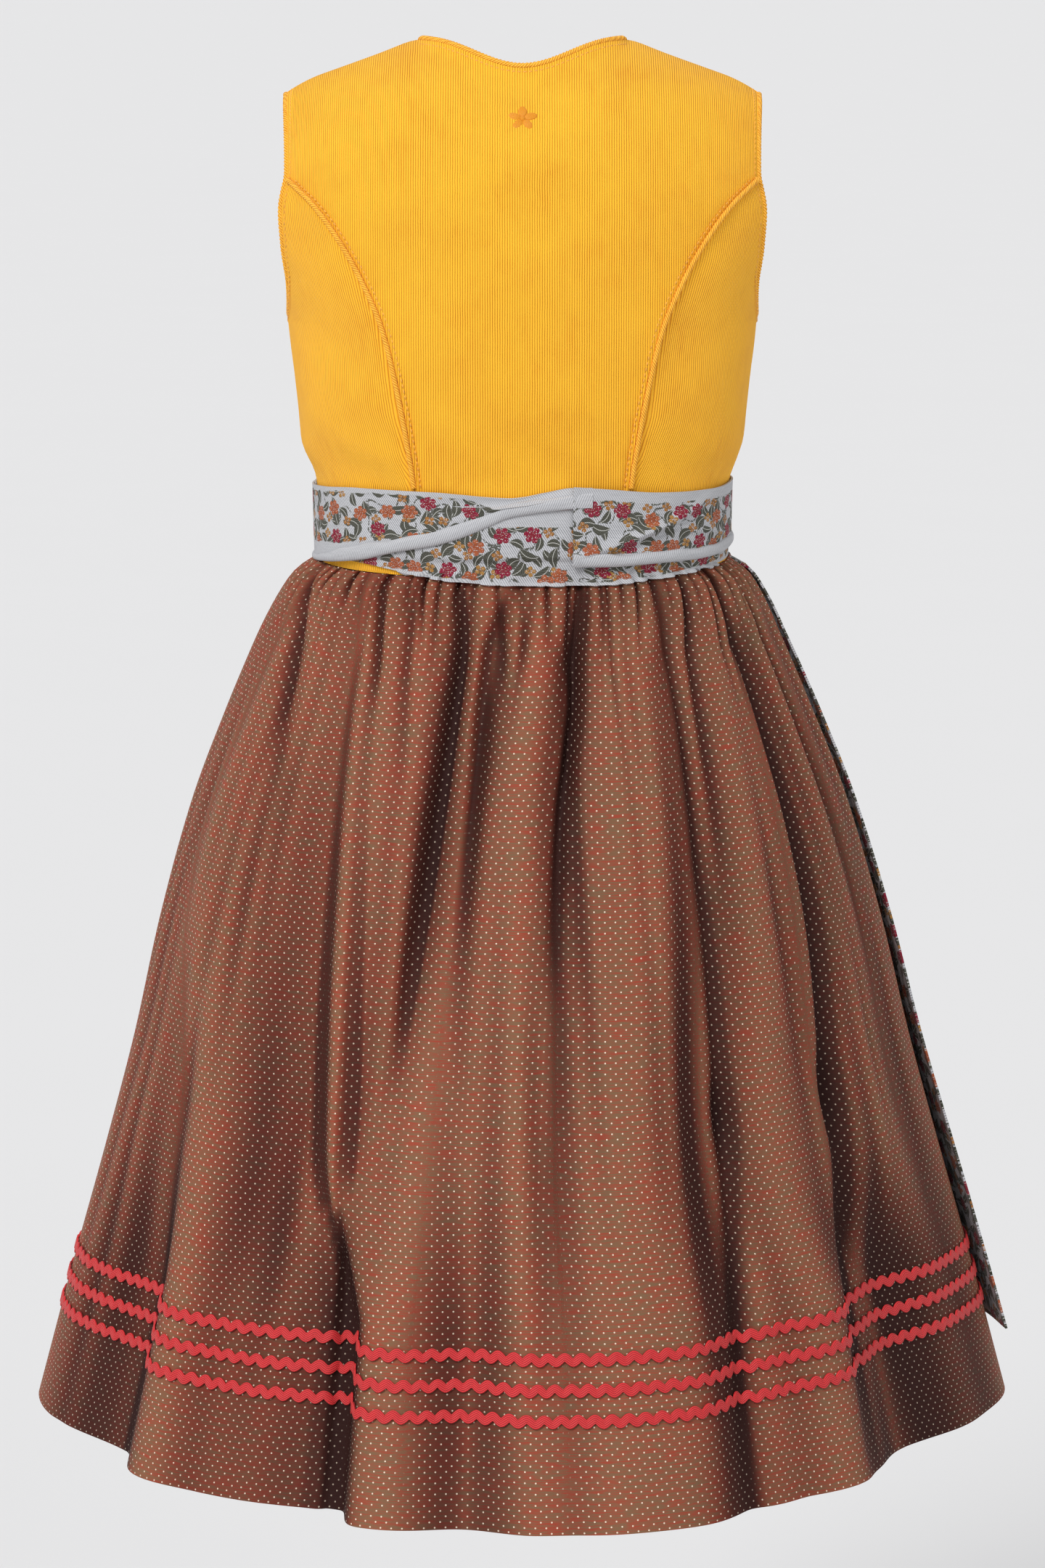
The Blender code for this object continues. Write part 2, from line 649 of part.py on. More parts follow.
def armhole_path(centre, side, front):
    """Round the left armhole, from its foot up the back and down the front."""
    foot = len(SIDE_LEVELS)
    edges = [(side[foot][-1], side[foot - 1][-1])]
    edges += [(row[-1], row[-2]) for row in side[foot + 1:]]
    edges += [(row[-1], row[-2]) for row in centre[len(side):]]
    edges += [(row[-1], row[-2]) for row in front[-2:foot:-1]]
    return beside_edge(edges, PIPING_R, True)


def princess_path():
    """Along the left princess seam, from just over the bands to the armhole."""
    path = []
    for z in (PIPING_FOOT_Z, *BACK_LEVELS[2:-1], PIPING_TOP_Z):
        degrees = degrees_at(column_of(PRINCESS, "offset", "z", z), z)
        path.append(bodice_out(degrees, z, PRINCESS_PIPING_R + LAY_GAP))
    return path


def flipped(path):
    return [p * np.array([-1.0, 1.0, 1.0]) for p in path]


def build_piping(materials, collection, centre, left, front_left, front_right):
    cloth = materials["piping_cord"]
    neck = neck_path(centre, front_left, front_right)
    cord("piping_neck", neck, PIPING_R, cloth, collection, False)
    armhole = armhole_path(centre, left, front_left)
    cord("piping_armhole_left", armhole, PIPING_R, cloth, collection, True)
    front_right_over = mirrored(front_right)
    armhole = flipped(armhole_path(centre, left, front_right_over))
    cord("piping_armhole_right", armhole, PIPING_R, cloth, collection, True)
    princess = princess_path()
    cord("piping_princess_left", princess, PRINCESS_PIPING_R, cloth, collection, False)
    cord("piping_princess_right", flipped(princess), PRINCESS_PIPING_R, cloth, collection, False)


def build_buttons(materials, collection):
    """Flat buttons down centre front, each square to the cloth under it."""
    for k in range(BUTTONS):
        z = BUTTON_TOP_Z + (BUTTON_FOOT_Z - BUTTON_TOP_Z) * k / (BUTTONS - 1)
        point, out = ring(BODICE, 270, z, BODY_POWER)
        slope = bodice_point(270, z + LEAN_STEP) - bodice_point(270, z - LEAN_STEP)
        normal = Vector(out - slope * (out @ slope) / (slope @ slope)).normalized()
        mesh = bmesh.new()
        bmesh.ops.create_cone(
            mesh,
            cap_ends=True,
            segments=BUTTON_SIDES,
            radius1=BUTTON_R,
            radius2=BUTTON_R - BUTTON_TAPER,
            depth=BUTTON_THICK,
        )
        thing = finish_mesh(f"button_{k + 1}", mesh, materials["button_horn"], collection)
        thing.location = Vector(point) + normal * (LAY_GAP + BUTTON_THICK / 2)
        thing.rotation_euler = normal.to_track_quat("Z", "X").to_euler()


def column_degrees(place):
    """The angle of a skirt column, place running from 0 to 1 round the body: closer at the
    back, and a little uneven, as gathers are."""
    turn = 2 * math.pi * place
    uneven = sum(wave.size * math.sin(wave.rate * turn + wave.start) for wave in COLUMNS_UNEVEN)
    return 360 * place + math.degrees(BACK_CLOSER) * math.cos(turn) + uneven


def fold_depth(degrees, z):
    """How far the long folds pull the cloth in at an angle and height."""
    t = (WAIST_Z - z) / (WAIST_Z - HEM_Z)
    inset = 0.0
    for v in VALLEYS:
        angles = (v.waist_deg, v.third_deg, v.lower_deg, v.hem_deg)
        depths = (v.waist_mm, v.third_mm, v.lower_mm, v.hem_mm)
        away = (degrees - smooth(FOLD_STATIONS, angles, t) + 180) % 360 - 180
        spread = v.before_deg if away < 0 else v.after_deg
        inset += smooth(FOLD_STATIONS, depths, t) / 1000 * math.exp(-((away / spread) ** 2))
    return inset * min(1.0, t / FOLD_START + FOLD_AT_WAIST)


def skirt_power(z):
    return smooth(*zip(*SKIRT_POWERS), z)


def skirt_at(degrees, z, out=0.0, crease=0.0):
    """A point of the skirt, or one that lies out from it, with the outward direction."""
    point, outward = ring(SKIRT, degrees, z, skirt_power(z))
    return point + outward * (out - fold_depth(degrees, z) - crease), outward


def gather_crease(column, level):
    """How deep the gather's crease is on a fine column at a gather level."""
    if column % COLUMNS_PER_GATHER:
        return 0.0
    gather = column // COLUMNS_PER_GATHER
    uneven = sum(wave.size * math.sin(wave.rate * gather + wave.start) for wave in GATHERS_UNEVEN)
    return GATHER_DEPTHS[level] * (1.0 + uneven)


def gathered_rows(columns, share=1.0, out=None):
    """The close rows under the waist seam. share and out are for what lies on the skirt: how
    deep its creases are, and how far out it lies at each column and height."""
    rows = []
    for level, drop in enumerate(GATHER_LEVELS):
        row = []
        for column in columns:
            degrees = column_degrees(column / FINE_COLUMNS)
            z = seam_level(degrees) - drop
            crease = gather_crease(column % FINE_COLUMNS, level) * share
            row.append(skirt_at(degrees, z, out(column, z) if out else 0.0, crease)[0])
        rows.append(row)
    return rows


def draped_rows(columns, levels, out=None):
    rows = []
    for z in levels:
        row = []
        for column in columns:
            degrees = column_degrees(column / FINE_COLUMNS)
            row.append(skirt_at(degrees, z, out(column, z) if out else 0.0)[0])
        rows.append(row)
    return rows


def joined_tube(name, fine, coarse, wall, material, collection, wraps):
    """The gathered rows, which have two columns for each one of the draped rows below, and a
    band of triangles between the two."""
    mesh = bmesh.new()
    upper = lay_grid(mesh, fine, wraps)
    lower = lay_grid(mesh, coarse, wraps)
    last = len(fine) - 1
    around_fine, around_coarse = len(fine[0]) - wraps, len(coarse[0]) - wraps
    cells = around_coarse if wraps else around_coarse - 1
    for k in range(cells):
        a = upper[last, 2 * k]
        b = upper[last, 2 * k + 1]
        c = upper[last, (2 * k + 2) % around_fine if wraps else 2 * k + 2]
        d = lower[0, k]
        e = lower[0, (k + 1) % around_coarse if wraps else k + 1]
        for corners in ((a, b, d), (b, e, d), (b, c, e)):
            mesh.faces.new(corners)
    bmesh.ops.recalc_face_normals(mesh, faces=mesh.faces)
    face_outwards(mesh)
    return finish_mesh(name, mesh, material, collection, wall)


def build_skirt(materials, collection):
    fine = gathered_rows(range(FINE_COLUMNS + 1))
    coarse = draped_rows(range(0, FINE_COLUMNS + 1, 2), DRAPE_LEVELS)
    joined_tube("skirt", fine, coarse, SKIRT_WALL, materials["skirt_cotton"], collection, True)


def braid_point(degrees, along, out):
    """A point on the lowest run of the skirt, along the cloth from its hem, moved out."""
    places = [skirt_at(degrees, z)[0] for z in (DRAPE_LEVELS[-1], *BRAID_LEVELS)]
    first = np.linalg.norm(places[1] - places[0])
    run = places[2] - places[1]
    outward = skirt_at(degrees, BRAID_LEVELS[0])[1]
    return places[1] + run * (along - first) / np.linalg.norm(run) + outward * out


def build_ricrac(materials, collection):
    """Each braid as a plain closed band, thickest along its middle."""
    for number, middle in enumerate(RICRAC_ABOVE_HEM, 1):
        profile = (
            (middle - RICRAC_TALL / 2, RICRAC_GAP),
            (middle, RICRAC_GAP + RICRAC_THICK),
            (middle + RICRAC_TALL / 2, RICRAC_GAP),
            (middle - RICRAC_TALL / 2, RICRAC_GAP),
        )
        columns = [column_degrees(k / COARSE_COLUMNS) for k in range(COARSE_COLUMNS + 1)]
        rows = [[braid_point(d, along, out) for d in columns] for along, out in profile]
        mesh = bmesh.new()
        lay_grid(mesh, rows, wraps=True, closes=True)
        bmesh.ops.recalc_face_normals(mesh, faces=mesh.faces)
        finish_mesh(f"ricrac_{number}", mesh, materials["ricrac_braid"], collection)


def apron_columns():
    """The coarse skirt columns that the apron lies on."""
    near = range(0, 2 * COARSE_COLUMNS)
    first = min(near, key=lambda k: abs(column_degrees(k / COARSE_COLUMNS) - APRON_FROM_DEG))
    last = min(near, key=lambda k: abs(column_degrees(k / COARSE_COLUMNS) - APRON_TO_DEG))
    return first, last


def apron_over(z):
    """How far the apron lies outside the skirt at height z."""
    fall = (WAIST_Z - z) / (WAIST_Z - APRON_HEM_Z)
    share = min(1.0, fall / APRON_FULL_OUT_AT)
    return APRON_OUT_ABOVE + (APRON_OUT - APRON_OUT_ABOVE) * share


def apron_points():
    first, last = apron_columns()

    def out(column, z):
        fall = (WAIST_Z - z) / (WAIST_Z - APRON_HEM_Z)
        edge = math.exp(-(column / 2 - first) / APRON_EDGE_COLUMNS)
        return apron_over(z) + APRON_EDGE_FLARE * max(0.0, fall) * edge

    fine_columns = range(2 * first, 2 * last + 1)
    fine = gathered_rows(fine_columns, APRON_GATHER_SHARE, out)
    top = []
    for column in fine_columns:
        degrees = column_degrees(column / FINE_COLUMNS)
        top.append(bodice_out(degrees, BAND_BOTTOM_Z - LAY_GAP, APRON_TOP_OUT))
    levels = [z for z in DRAPE_LEVELS if z > APRON_HEM_Z]
    coarse_columns = range(2 * first, 2 * last + 1, 2)
    coarse = draped_rows(coarse_columns, levels, out)
    under = draped_rows(coarse_columns, (HEM_Z,), out)[0]
    share = (levels[-1] - APRON_HEM_Z) / (levels[-1] - HEM_Z)
    coarse.append([a + (b - a) * share for a, b in zip(coarse[-1], under)])
    return [top] + fine[1:], coarse


def build_apron(materials, collection):
    fine, coarse = apron_points()
    cloth = materials["apron_jacquard"]
    joined_tube("apron", fine, coarse, APRON_WALL, cloth, collection, False)


def band_points(edges, columns, shares, layer, turns_out):
    """A band's rows from top to bottom, its outer face layer(degrees) out from the bodice, or
    from the skirt near the waist seam where the band turns out there."""
    rows = []
    for share in shares:
        row = []
        for degrees in columns:
            top = column_of(edges, "top", "deg", degrees)
            bottom = column_of(edges, "bottom", "deg", degrees)
            z = top + (bottom - top) * share
            if turns_out and z < BAND_TURNS_OUT_Z:
                row.append(skirt_at(degrees, z, layer(degrees) + BAND_OVER_SKIRT)[0])
            else:
                row.append(bodice_out(degrees, z, layer(degrees)))
        rows.append(row)
    return rows


def band_columns(first, last):
    """The bands share one set of columns, so that their layers lie parallel."""
    step = BAND_STEP_DEG
    after, before = first / step + BAND_STEP_LEAST, last / step - BAND_STEP_LEAST
    inner = range(math.ceil(after), math.floor(before) + 1)
    return [first, *[step * k for k in inner], last]


def inner_layer(degrees):
    return LAYER_INNER


def outer_layer(degrees):
    return LAYER_OUTER


def right_layer(degrees):
    """The right tie lies over the left one at its free edge, and sinks to its layer."""
    span = TIE_RIGHT_FLAT_FROM_DEG - TIE_RIGHT_LIFT_TO_DEG
    t = min(1.0, max(0.0, (degrees - TIE_RIGHT_LIFT_TO_DEG) / span))
    return LAYER_TOP + (LAYER_OUTER - LAYER_TOP) * t


def build_bands(materials, collection):
    """The apron's waistband in front, the plain layer behind, and the two ties over both."""
    front_band = [BandEdge(deg, BAND_TOP_Z, BAND_BOTTOM_Z) for deg in WAISTBAND_SPAN]
    gap_deg = math.degrees(SEAM_GAP / BODICE[0].half_width)
    first = TIE_UNDER[-1].deg + gap_deg
    last = 360 + TIE_UNDER[0].deg - gap_deg
    pieces = [
        ("apron_waistband", front_band, first, last, inner_layer),
        ("tie_under", TIE_UNDER, TIE_UNDER[0].deg, TIE_UNDER[-1].deg, inner_layer),
        ("tie_left", TIE_LEFT, TIE_LEFT[0].deg, TIE_LEFT[-1].deg, outer_layer),
        ("tie_right", TIE_RIGHT, TIE_RIGHT[0].deg, TIE_RIGHT[-1].deg, right_layer),
    ]
    for name, edges, start, end, layer in pieces:
        turns_out = name == "tie_under"
        shares = BAND_UNDER_ROWS if turns_out else BAND_ROWS
        points = band_points(edges, band_columns(start, end), shares, layer, turns_out)
        cloth_panel(name, points, TIE_WALL, materials["apron_jacquard"], collection)


def build_knot(materials, collection):
    mesh = bmesh.new()
    bmesh.ops.create_cube(mesh, size=1.0)
    bmesh.ops.scale(mesh, vec=KNOT, verts=mesh.verts)
    thing = finish_mesh("bow_knot", mesh, materials["apron_jacquard"], collection)
    bevel = thing.modifiers.new("soft edges", "BEVEL")
    bevel.width = KNOT_ROUND
    bevel.segments = 2
    thing.location = (0.0, KNOT_BACK_Y - KNOT[1] / 2, KNOT_Z)


def build_loop(name, side, materials, collection):
    """One loop of the bow: a flat ring of band, open above and below, that droops."""
    start = KNOT[0] / 2 + LAY_GAP
    rows = []
    for k in range(LOOP_ROWS):
        row = []
        for j in range(LOOP_COLUMNS + 1):
            turn = 2 * math.pi * j / LOOP_COLUMNS
            along = (1 - math.cos(turn)) / 2
            x = start + (LOOP_REACH - start) * along
            y = KNOT_BACK_Y - LAY_GAP - LOOP_DEEP / 2 + LOOP_DEEP / 2 * math.sin(turn)
            opened = math.sin(min(1.0, along / LOOP_FULL_AT) * math.pi / 2)
            tall = LOOP_TALL * (LOOP_PINCH + (1 - LOOP_PINCH) * opened)
            z = KNOT_Z + (0.5 - k / (LOOP_ROWS - 1)) * tall - LOOP_DROOP * along**2
            row.append(np.array([side * x, y, z]))
        rows.append(row)
    middle = (side * (start + LOOP_REACH) / 2, KNOT_BACK_Y - LOOP_DEEP / 2)
    cloth = materials["apron_jacquard"]
    cloth_panel(name, rows, TIE_WALL, cloth, collection, wraps=True, middle=middle)


def build_tail(name, side, materials, collection):
    """One end of the tie, hanging from under the knot over the apron."""
    top_z = KNOT_Z - KNOT[2] / 2 - LAY_GAP
    rows = []
    for z in (top_z, *TAIL_LEVELS):
        t = (top_z - z) / (top_z - TAIL_LEVELS[-1])
        wide = min(1.0, t / TAIL_WIDE_AT)
        half = TAIL_HALF_TOP + (TAIL_HALF_END - TAIL_HALF_TOP) * wide
        spread = (TAIL_SPREAD - TAIL_HALF_TOP) * t**TAIL_SPREAD_CURVE
        middle_x = TAIL_HALF_TOP + LAY_GAP + spread
        row = []
        for across in (-1, 0, 1):
            x = middle_x + across * half
            if z == top_z:
                row.append(np.array([side * x, TAIL_TOP_Y, z]))
                continue
            share = x / column_of(SKIRT, "half_width", "z", z)
            away = math.degrees(math.asin(share ** (1 / skirt_power(z))))
            row.append(skirt_at(270 + side * away, z, apron_over(z) + TAIL_OUT)[0])
        rows.append(row)
    cloth_panel(name, rows, TIE_WALL, materials["apron_jacquard"], collection)


def build_bow(materials, collection):
    build_knot(materials, collection)
    for side, word in ((1, "left"), (-1, "right")):
        build_loop(f"bow_loop_{word}", side, materials, collection)
        build_tail(f"bow_tail_{word}", side, materials, collection)


def main():
    clear_scene()
    materials = make_materials()
    collection = bpy.data.collections.new("dirndl")
    bpy.context.scene.collection.children.link(collection)
    panels = build_bodice(materials, collection)
    build_piping(materials, collection, *panels)
    build_buttons(materials, collection)
    build_skirt(materials, collection)
    build_ricrac(materials, collection)
    build_apron(materials, collection)
    build_bands(materials, collection)
    build_bow(materials, collection)


main()
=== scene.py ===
"""The looks of a girl's dirndl: corduroy bodice, dotted shot-cotton skirt with three rows of
zigzag braid, and a flowered apron whose ties wrap the waist. Metres, +Z up, the wearer faces -Y,
+X is the wearer's left. Angles run round the body from +X (0 degrees) by the back (90)."""

import math

import bpy
import numpy as np
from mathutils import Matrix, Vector


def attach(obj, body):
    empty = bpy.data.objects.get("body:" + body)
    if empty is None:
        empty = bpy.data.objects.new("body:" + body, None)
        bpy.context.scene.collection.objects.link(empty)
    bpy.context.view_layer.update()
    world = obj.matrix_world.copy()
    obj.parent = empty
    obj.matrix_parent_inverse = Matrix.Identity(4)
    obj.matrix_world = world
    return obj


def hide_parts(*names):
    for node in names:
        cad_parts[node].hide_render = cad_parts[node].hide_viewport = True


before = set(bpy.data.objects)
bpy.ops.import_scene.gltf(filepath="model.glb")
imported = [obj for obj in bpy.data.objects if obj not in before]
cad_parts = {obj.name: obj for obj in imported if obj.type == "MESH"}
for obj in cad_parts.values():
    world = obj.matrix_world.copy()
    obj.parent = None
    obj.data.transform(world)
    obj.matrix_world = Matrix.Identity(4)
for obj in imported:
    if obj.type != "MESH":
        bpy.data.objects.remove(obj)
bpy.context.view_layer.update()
RNG = np.random.default_rng(11)

# The garment's sizes, as in the solids
WAIST_Z, WAIST_DIP, HEM_Z, APRON_HEM_Z = -0.2812, 0.0035, -0.7535, -0.7180
CORD_WALL, SKIRT_WALL, APRON_WALL, TIE_WALL = 0.0015, 0.0012, 0.0012, 0.0010
BODY_POWER = 0.87
NECK_HALF, NECK_POINT_Z, SHOULDER_HALF = 0.057, -0.002, 0.1270
NECK_BACK_Y, NECK_BACK_DIP, NECK_FRONT_Y, NECK_FRONT_DIP = 0.050, 0.0143, 0.086, 0.078
SHOULDER_SLOPE = math.tan(math.radians(19.5))
SHOULDER_ROUND_FROM, SHOULDER_ROUND_DROP = 0.108, 0.003
ARMHOLE_Z, ARMHOLE_HALF_HEIGHT, ARMHOLE_BACK, ARMHOLE_FRONT = -0.0895, 0.0615, 0.046, 0.052
YOKE_BACK_Z, YOKE_FRONT_Z, LAP_X = -0.074, -0.100, 0.010
PIPING_R, PRINCESS_R, TUBE_SIDES = 0.0016, 0.0013, 12
LEAN_STEP, ARCH_FULLNESS = 0.008, 1.05
SIDES = (("left", 1), ("right", -1))
# Points inside the pieces, which their faces look away from; and how near points are the same
BODICE_CENTRE, SKIRT_CENTRE, WELD_DISTANCE = (0, 0, -0.15), (0, 0, -0.45), 1e-6

# z, half width, depth behind, depth in front
BODICE = np.array([
    (-0.2900, 0.1112, 0.0795, 0.0835),
    (-0.2620, 0.1119, 0.0800, 0.0845),
    (-0.2400, 0.1124, 0.0805, 0.0860),
    (-0.2160, 0.1204, 0.0840, 0.0890),
    (-0.1920, 0.1232, 0.0880, 0.0930),
    (-0.1510, 0.1272, 0.0915, 0.0965),
    (-0.1300, 0.1322, 0.0918, 0.0965),
    (-0.1100, 0.1394, 0.0910, 0.0950),
    (-0.0900, 0.1430, 0.0893, 0.0928),
    (-0.0740, 0.1396, 0.0870, 0.0900),
])
SKIRT = np.array([
    (-0.2800, 0.1113, 0.0796, 0.0838),
    (-0.2850, 0.1180, 0.0800, 0.0850),
    (-0.2910, 0.1250, 0.0825, 0.0900),
    (-0.3013, 0.1324, 0.0960, 0.1010),
    (-0.3185, 0.1421, 0.1163, 0.1173),
    (-0.3409, 0.1528, 0.1316, 0.1306),
    (-0.3684, 0.1650, 0.1450, 0.1440),
    (-0.4176, 0.1838, 0.1630, 0.1620),
    (-0.4816, 0.2016, 0.1825, 0.1805),
    (-0.5472, 0.2162, 0.2020, 0.2000),
    (-0.6143, 0.2343, 0.2235, 0.2200),
    (-0.6689, 0.2500, 0.2425, 0.2375),
    (HEM_Z, 0.2730, 0.2700, 0.2610),
])
SKIRT_POWERS = np.array([(HEM_Z, 1.08), (-0.5000, 1.04), (-0.3300, 1.00), (-0.2850, BODY_POWER)])
# z, how far out from centre back the princess seam lies
PRINCESS = np.array([
    (-0.2900, 0.0562), (-0.2404, 0.0575), (-0.2115, 0.0614), (-0.1822, 0.0668),
    (-0.1532, 0.0737), (-0.1275, 0.0845), (-0.1057, 0.0970), (-0.0875, 0.1108),
    (-0.0740, 0.1257),
])
# The long folds: angles in degrees and depths in mm at the four stations, which are shares of
# the way down the skirt; then how many degrees they spread on either side
VALLEYS = (
    (22, 18, 30, 31, 4, 3, 8, 20, 14, 5),
    (26, 44, 50, 48, 6, 1, 3, 4, 5, 9),
    (50, 56, 59, 65.8, 2, 7, 11, 20, 12, 2),
    (78, 74, 70, 69, 7, 9, 6, 0, 4, 4),
    (87, 79, 76, 75, 8, 8, 2, 0, 4, 4),
    (88, 84, 81, 82, 0, 5, 8, 12, 6, 8),
    (103, 96, 95, 96, 8, 8, 5, 3, 5, 4),
    (124, 121, 118, 120, 8, 10, 13, 12, 5, 8),
    (133, 127, 126, 128, 5, 5, 2, 8, 4, 8),
    (148, 144, 141, 148, 9, 14, 14, 30, 11, 15),
    (168, 164, 162, 168, 4, 5, 6, 4, 6, 7),
    (181, 182, 183, 184, 4, 5, 1, 0, 7, 9),
    (197, 198, 200, 201, 3, 6, 8, 11, 9, 9),
    (220, 221, 222, 223, 4, 6, 8, 12, 9, 9),
    (243, 244, 244, 245, 3, 5, 8, 10, 9, 9),
    (264, 263, 262, 262, 3, 5, 7, 9, 9, 9),
    (284, 284, 285, 285, 3, 6, 9, 11, 9, 9),
    (306, 305, 304, 304, 4, 6, 9, 12, 9, 9),
    (327, 327, 328, 329, 4, 7, 10, 13, 9, 9),
    (347, 348, 349, 350, 3, 5, 7, 10, 8, 6),
)
FOLD_STATIONS = (0.0, 0.30, 0.62, 0.80)
FOLD_START, FOLD_AT_WAIST = 0.09, 0.05
# The folds that hide cloth: the dots keep their spacing between them
PATTERN_VALLEYS = (0, 2, 4, 6, 7, 9, 10, 12, 13, 14, 15, 16, 17, 18, 19)
GATHERS = 64
# How deep a gather's crease is, by the drop from the waist seam; the ridge between two
GATHER_SIZE = ((0, 0.004, 0.012, 0.030, 0.07), (0.0026, 0.0038, 0.0042, 0.0034, 0.0024))
GATHER_RIDGE = 0.0014
PINCH_FADE = 0.03  # how far past its ends a pinch runs out
RICRAC_ABOVE_HEM = (0.0575, 0.0732, 0.0890)


# ---------------------------------------------------------------- curves and surfaces

def smooth(xs, ys, x):
    """A smooth curve through a table's points, with no overshoot, read at x."""
    xs, ys = np.asarray(xs, float), np.asarray(ys, float)
    if xs[0] > xs[-1]:
        xs, ys = xs[::-1], ys[::-1]
    steps = np.diff(xs)
    slopes = np.diff(ys) / steps
    tangents = np.zeros(len(xs))
    tangents[0], tangents[-1] = slopes[0], slopes[-1]
    for i in range(1, len(xs) - 1):
        if slopes[i - 1] * slopes[i] > 0:
            before, after = steps[i - 1], steps[i]
            w1, w2 = 2 * after + before, after + 2 * before
            tangents[i] = (w1 + w2) / (w1 / slopes[i - 1] + w2 / slopes[i])
    x = np.clip(x, xs[0], xs[-1])
    i = np.clip(np.searchsorted(xs, x) - 1, 0, len(xs) - 2)
    h = steps[i]
    t = (x - xs[i]) / h
    return (
        ys[i] * (1 + 2 * t) * (1 - t) ** 2
        + tangents[i] * h * t * (1 - t) ** 2
        + ys[i + 1] * t * t * (3 - 2 * t)
        + tangents[i + 1] * h * t * t * (t - 1)
    )


def power(value, exponent):
    return np.copysign(np.abs(value) ** exponent, value)


def unit(vectors):
    return vectors / np.maximum(np.linalg.norm(vectors, axis=-1, keepdims=True), 1e-12)


def step(low, high, x):
    """0 below low, 1 above high, and smooth between."""
    t = np.clip((x - low) / (high - low), 0, 1)
    return t * t * (3 - 2 * t)


def bump(x, middle, spread):
    return np.exp(-(((x - middle) / spread) ** 2))


def ring(table, degrees, z, exponent):
    """Points of the horizontal sections at z, and the outward directions there."""
    degrees, z, exponent = np.broadcast_arrays(degrees, z, exponent)
    angle = np.radians(degrees.astype(float))
    c, s = np.cos(angle), np.sin(angle)
    a = smooth(table[:, 0], table[:, 1], z)
    behind, ahead = (smooth(table[:, 0], table[:, k], z) for k in (2, 3))
    b = np.where(s >= 0, behind, ahead)
    x, y = a * power(c, exponent), b * power(s, exponent)
    k = 2 / exponent - 1
    out = np.stack([power(x / a, k) / a, power(y / b, k) / b, 0 * x], -1)
    return np.stack([x, y, z + 0 * x], -1), unit(out)


def bodice_at(degrees, z, out=0.0):
    point, outward = ring(BODICE, degrees, z, BODY_POWER)
    return point + outward * np.asarray(out)[..., None]


def degrees_at(x, z):
    a = smooth(BODICE[:, 0], BODICE[:, 1], z)
    return np.degrees(np.arccos(np.minimum(1.0, (np.abs(x) / a) ** (1 / BODY_POWER))))


def seam_level(degrees):
    return WAIST_Z - WAIST_DIP * np.maximum(0.0, np.sin(np.radians(degrees)))


def armhole_degrees(z, back):
    """The angle of the armhole's edge at z, 0 at its foot and below."""
    rise = np.clip((z - ARMHOLE_Z) / ARMHOLE_HALF_HEIGHT, -1, 1)
    reach = (ARMHOLE_BACK if back else ARMHOLE_FRONT) * np.sqrt(1 - rise * rise)
    depth = smooth(BODICE[:, 0], BODICE[:, 2 if back else 3], z)
    return np.degrees(np.arcsin((reach / depth) ** (1 / BODY_POWER)))


def column_degrees(place):
    """The angle of a skirt column, place running from 0 to 1: closer at the back."""
    turn = 2 * math.pi * place
    uneven = 0.40 * np.sin(7 * turn + 1.0) + 0.22 * np.sin(13 * turn + 2.0)
    return 360 * place + math.degrees(0.20) * np.cos(turn) + uneven


def wrapped(degrees):
    """The same angle, from -180 to 180."""
    return (degrees + 180) % 360 - 180


def down_skirt(z):
    """The share of the way from the waist to the hem."""
    return (WAIST_Z - z) / (WAIST_Z - HEM_Z)


def valley_degrees(valley, t):
    return smooth(FOLD_STATIONS, valley[:4], t)


def fold_depth(degrees, z):
    """How far the long folds pull the cloth in."""
    t = down_skirt(z)
    inset = 0.0
    for valley in VALLEYS:
        away = wrapped(degrees - valley_degrees(valley, t))
        spread = np.where(away < 0, valley[8], valley[9])
        depth = smooth(FOLD_STATIONS, valley[4:8], t) / 1000
        inset = inset + depth * bump(away, 0, spread)
    return inset * np.minimum(1.0, t / FOLD_START + FOLD_AT_WAIST)


# Gathers: one crease each, uneven in length, depth and lean
GATHER_LENGTH = 0.016 + 0.090 * RNG.uniform(0, 1, GATHERS) ** 2.4
GATHER_DEPTH = RNG.uniform(0.25, 1.35, GATHERS)
GATHER_SHIFT = RNG.uniform(-0.42, 0.42, GATHERS)
# Small soft creases all over the skirt: angle, drift, share of the way down, length as such a
# share, width in degrees and depth
SOFT_CREASES = [
    (RNG.uniform(0, 360), RNG.uniform(-8, 8), RNG.uniform(0.12, 0.75), RNG.uniform(0.10, 0.30),
     RNG.uniform(1.1, 2.6), RNG.uniform(0.0006, 0.0022))
    for _ in range(70)
]


def gather_depth(place, drop):
    """The creases of the gathers, and the soft ridges between them, pulled in from the skirt."""
    phase = place * GATHERS
    before = np.floor(phase).astype(int)
    size = smooth(*GATHER_SIZE, drop)
    total = 0.0
    for near in (before, before + 1):
        which = near % GATHERS
        fall = drop / GATHER_LENGTH[which]
        away = phase - near - GATHER_SHIFT[which] * np.minimum(1.0, fall)
        fade = 1 - step(0.30, 1.25, fall)
        wide = 0.12 + 0.12 * np.minimum(1.5, fall)
        total = total + size * fade * GATHER_DEPTH[which] * bump(away, 0, wide)
    return total - GATHER_RIDGE * step(0, 0.006, drop) * (1 - step(0.02, 0.10, drop))


def soft_creases(degrees, z):
    t = down_skirt(z)
    total = 0.0
    for middle, drift, level, length, wide, depth in SOFT_CREASES:
        away = wrapped(degrees - middle - drift * (t - level))
        total = total + depth * bump(away, 0, wide) * bump(t, level, length)
    return total


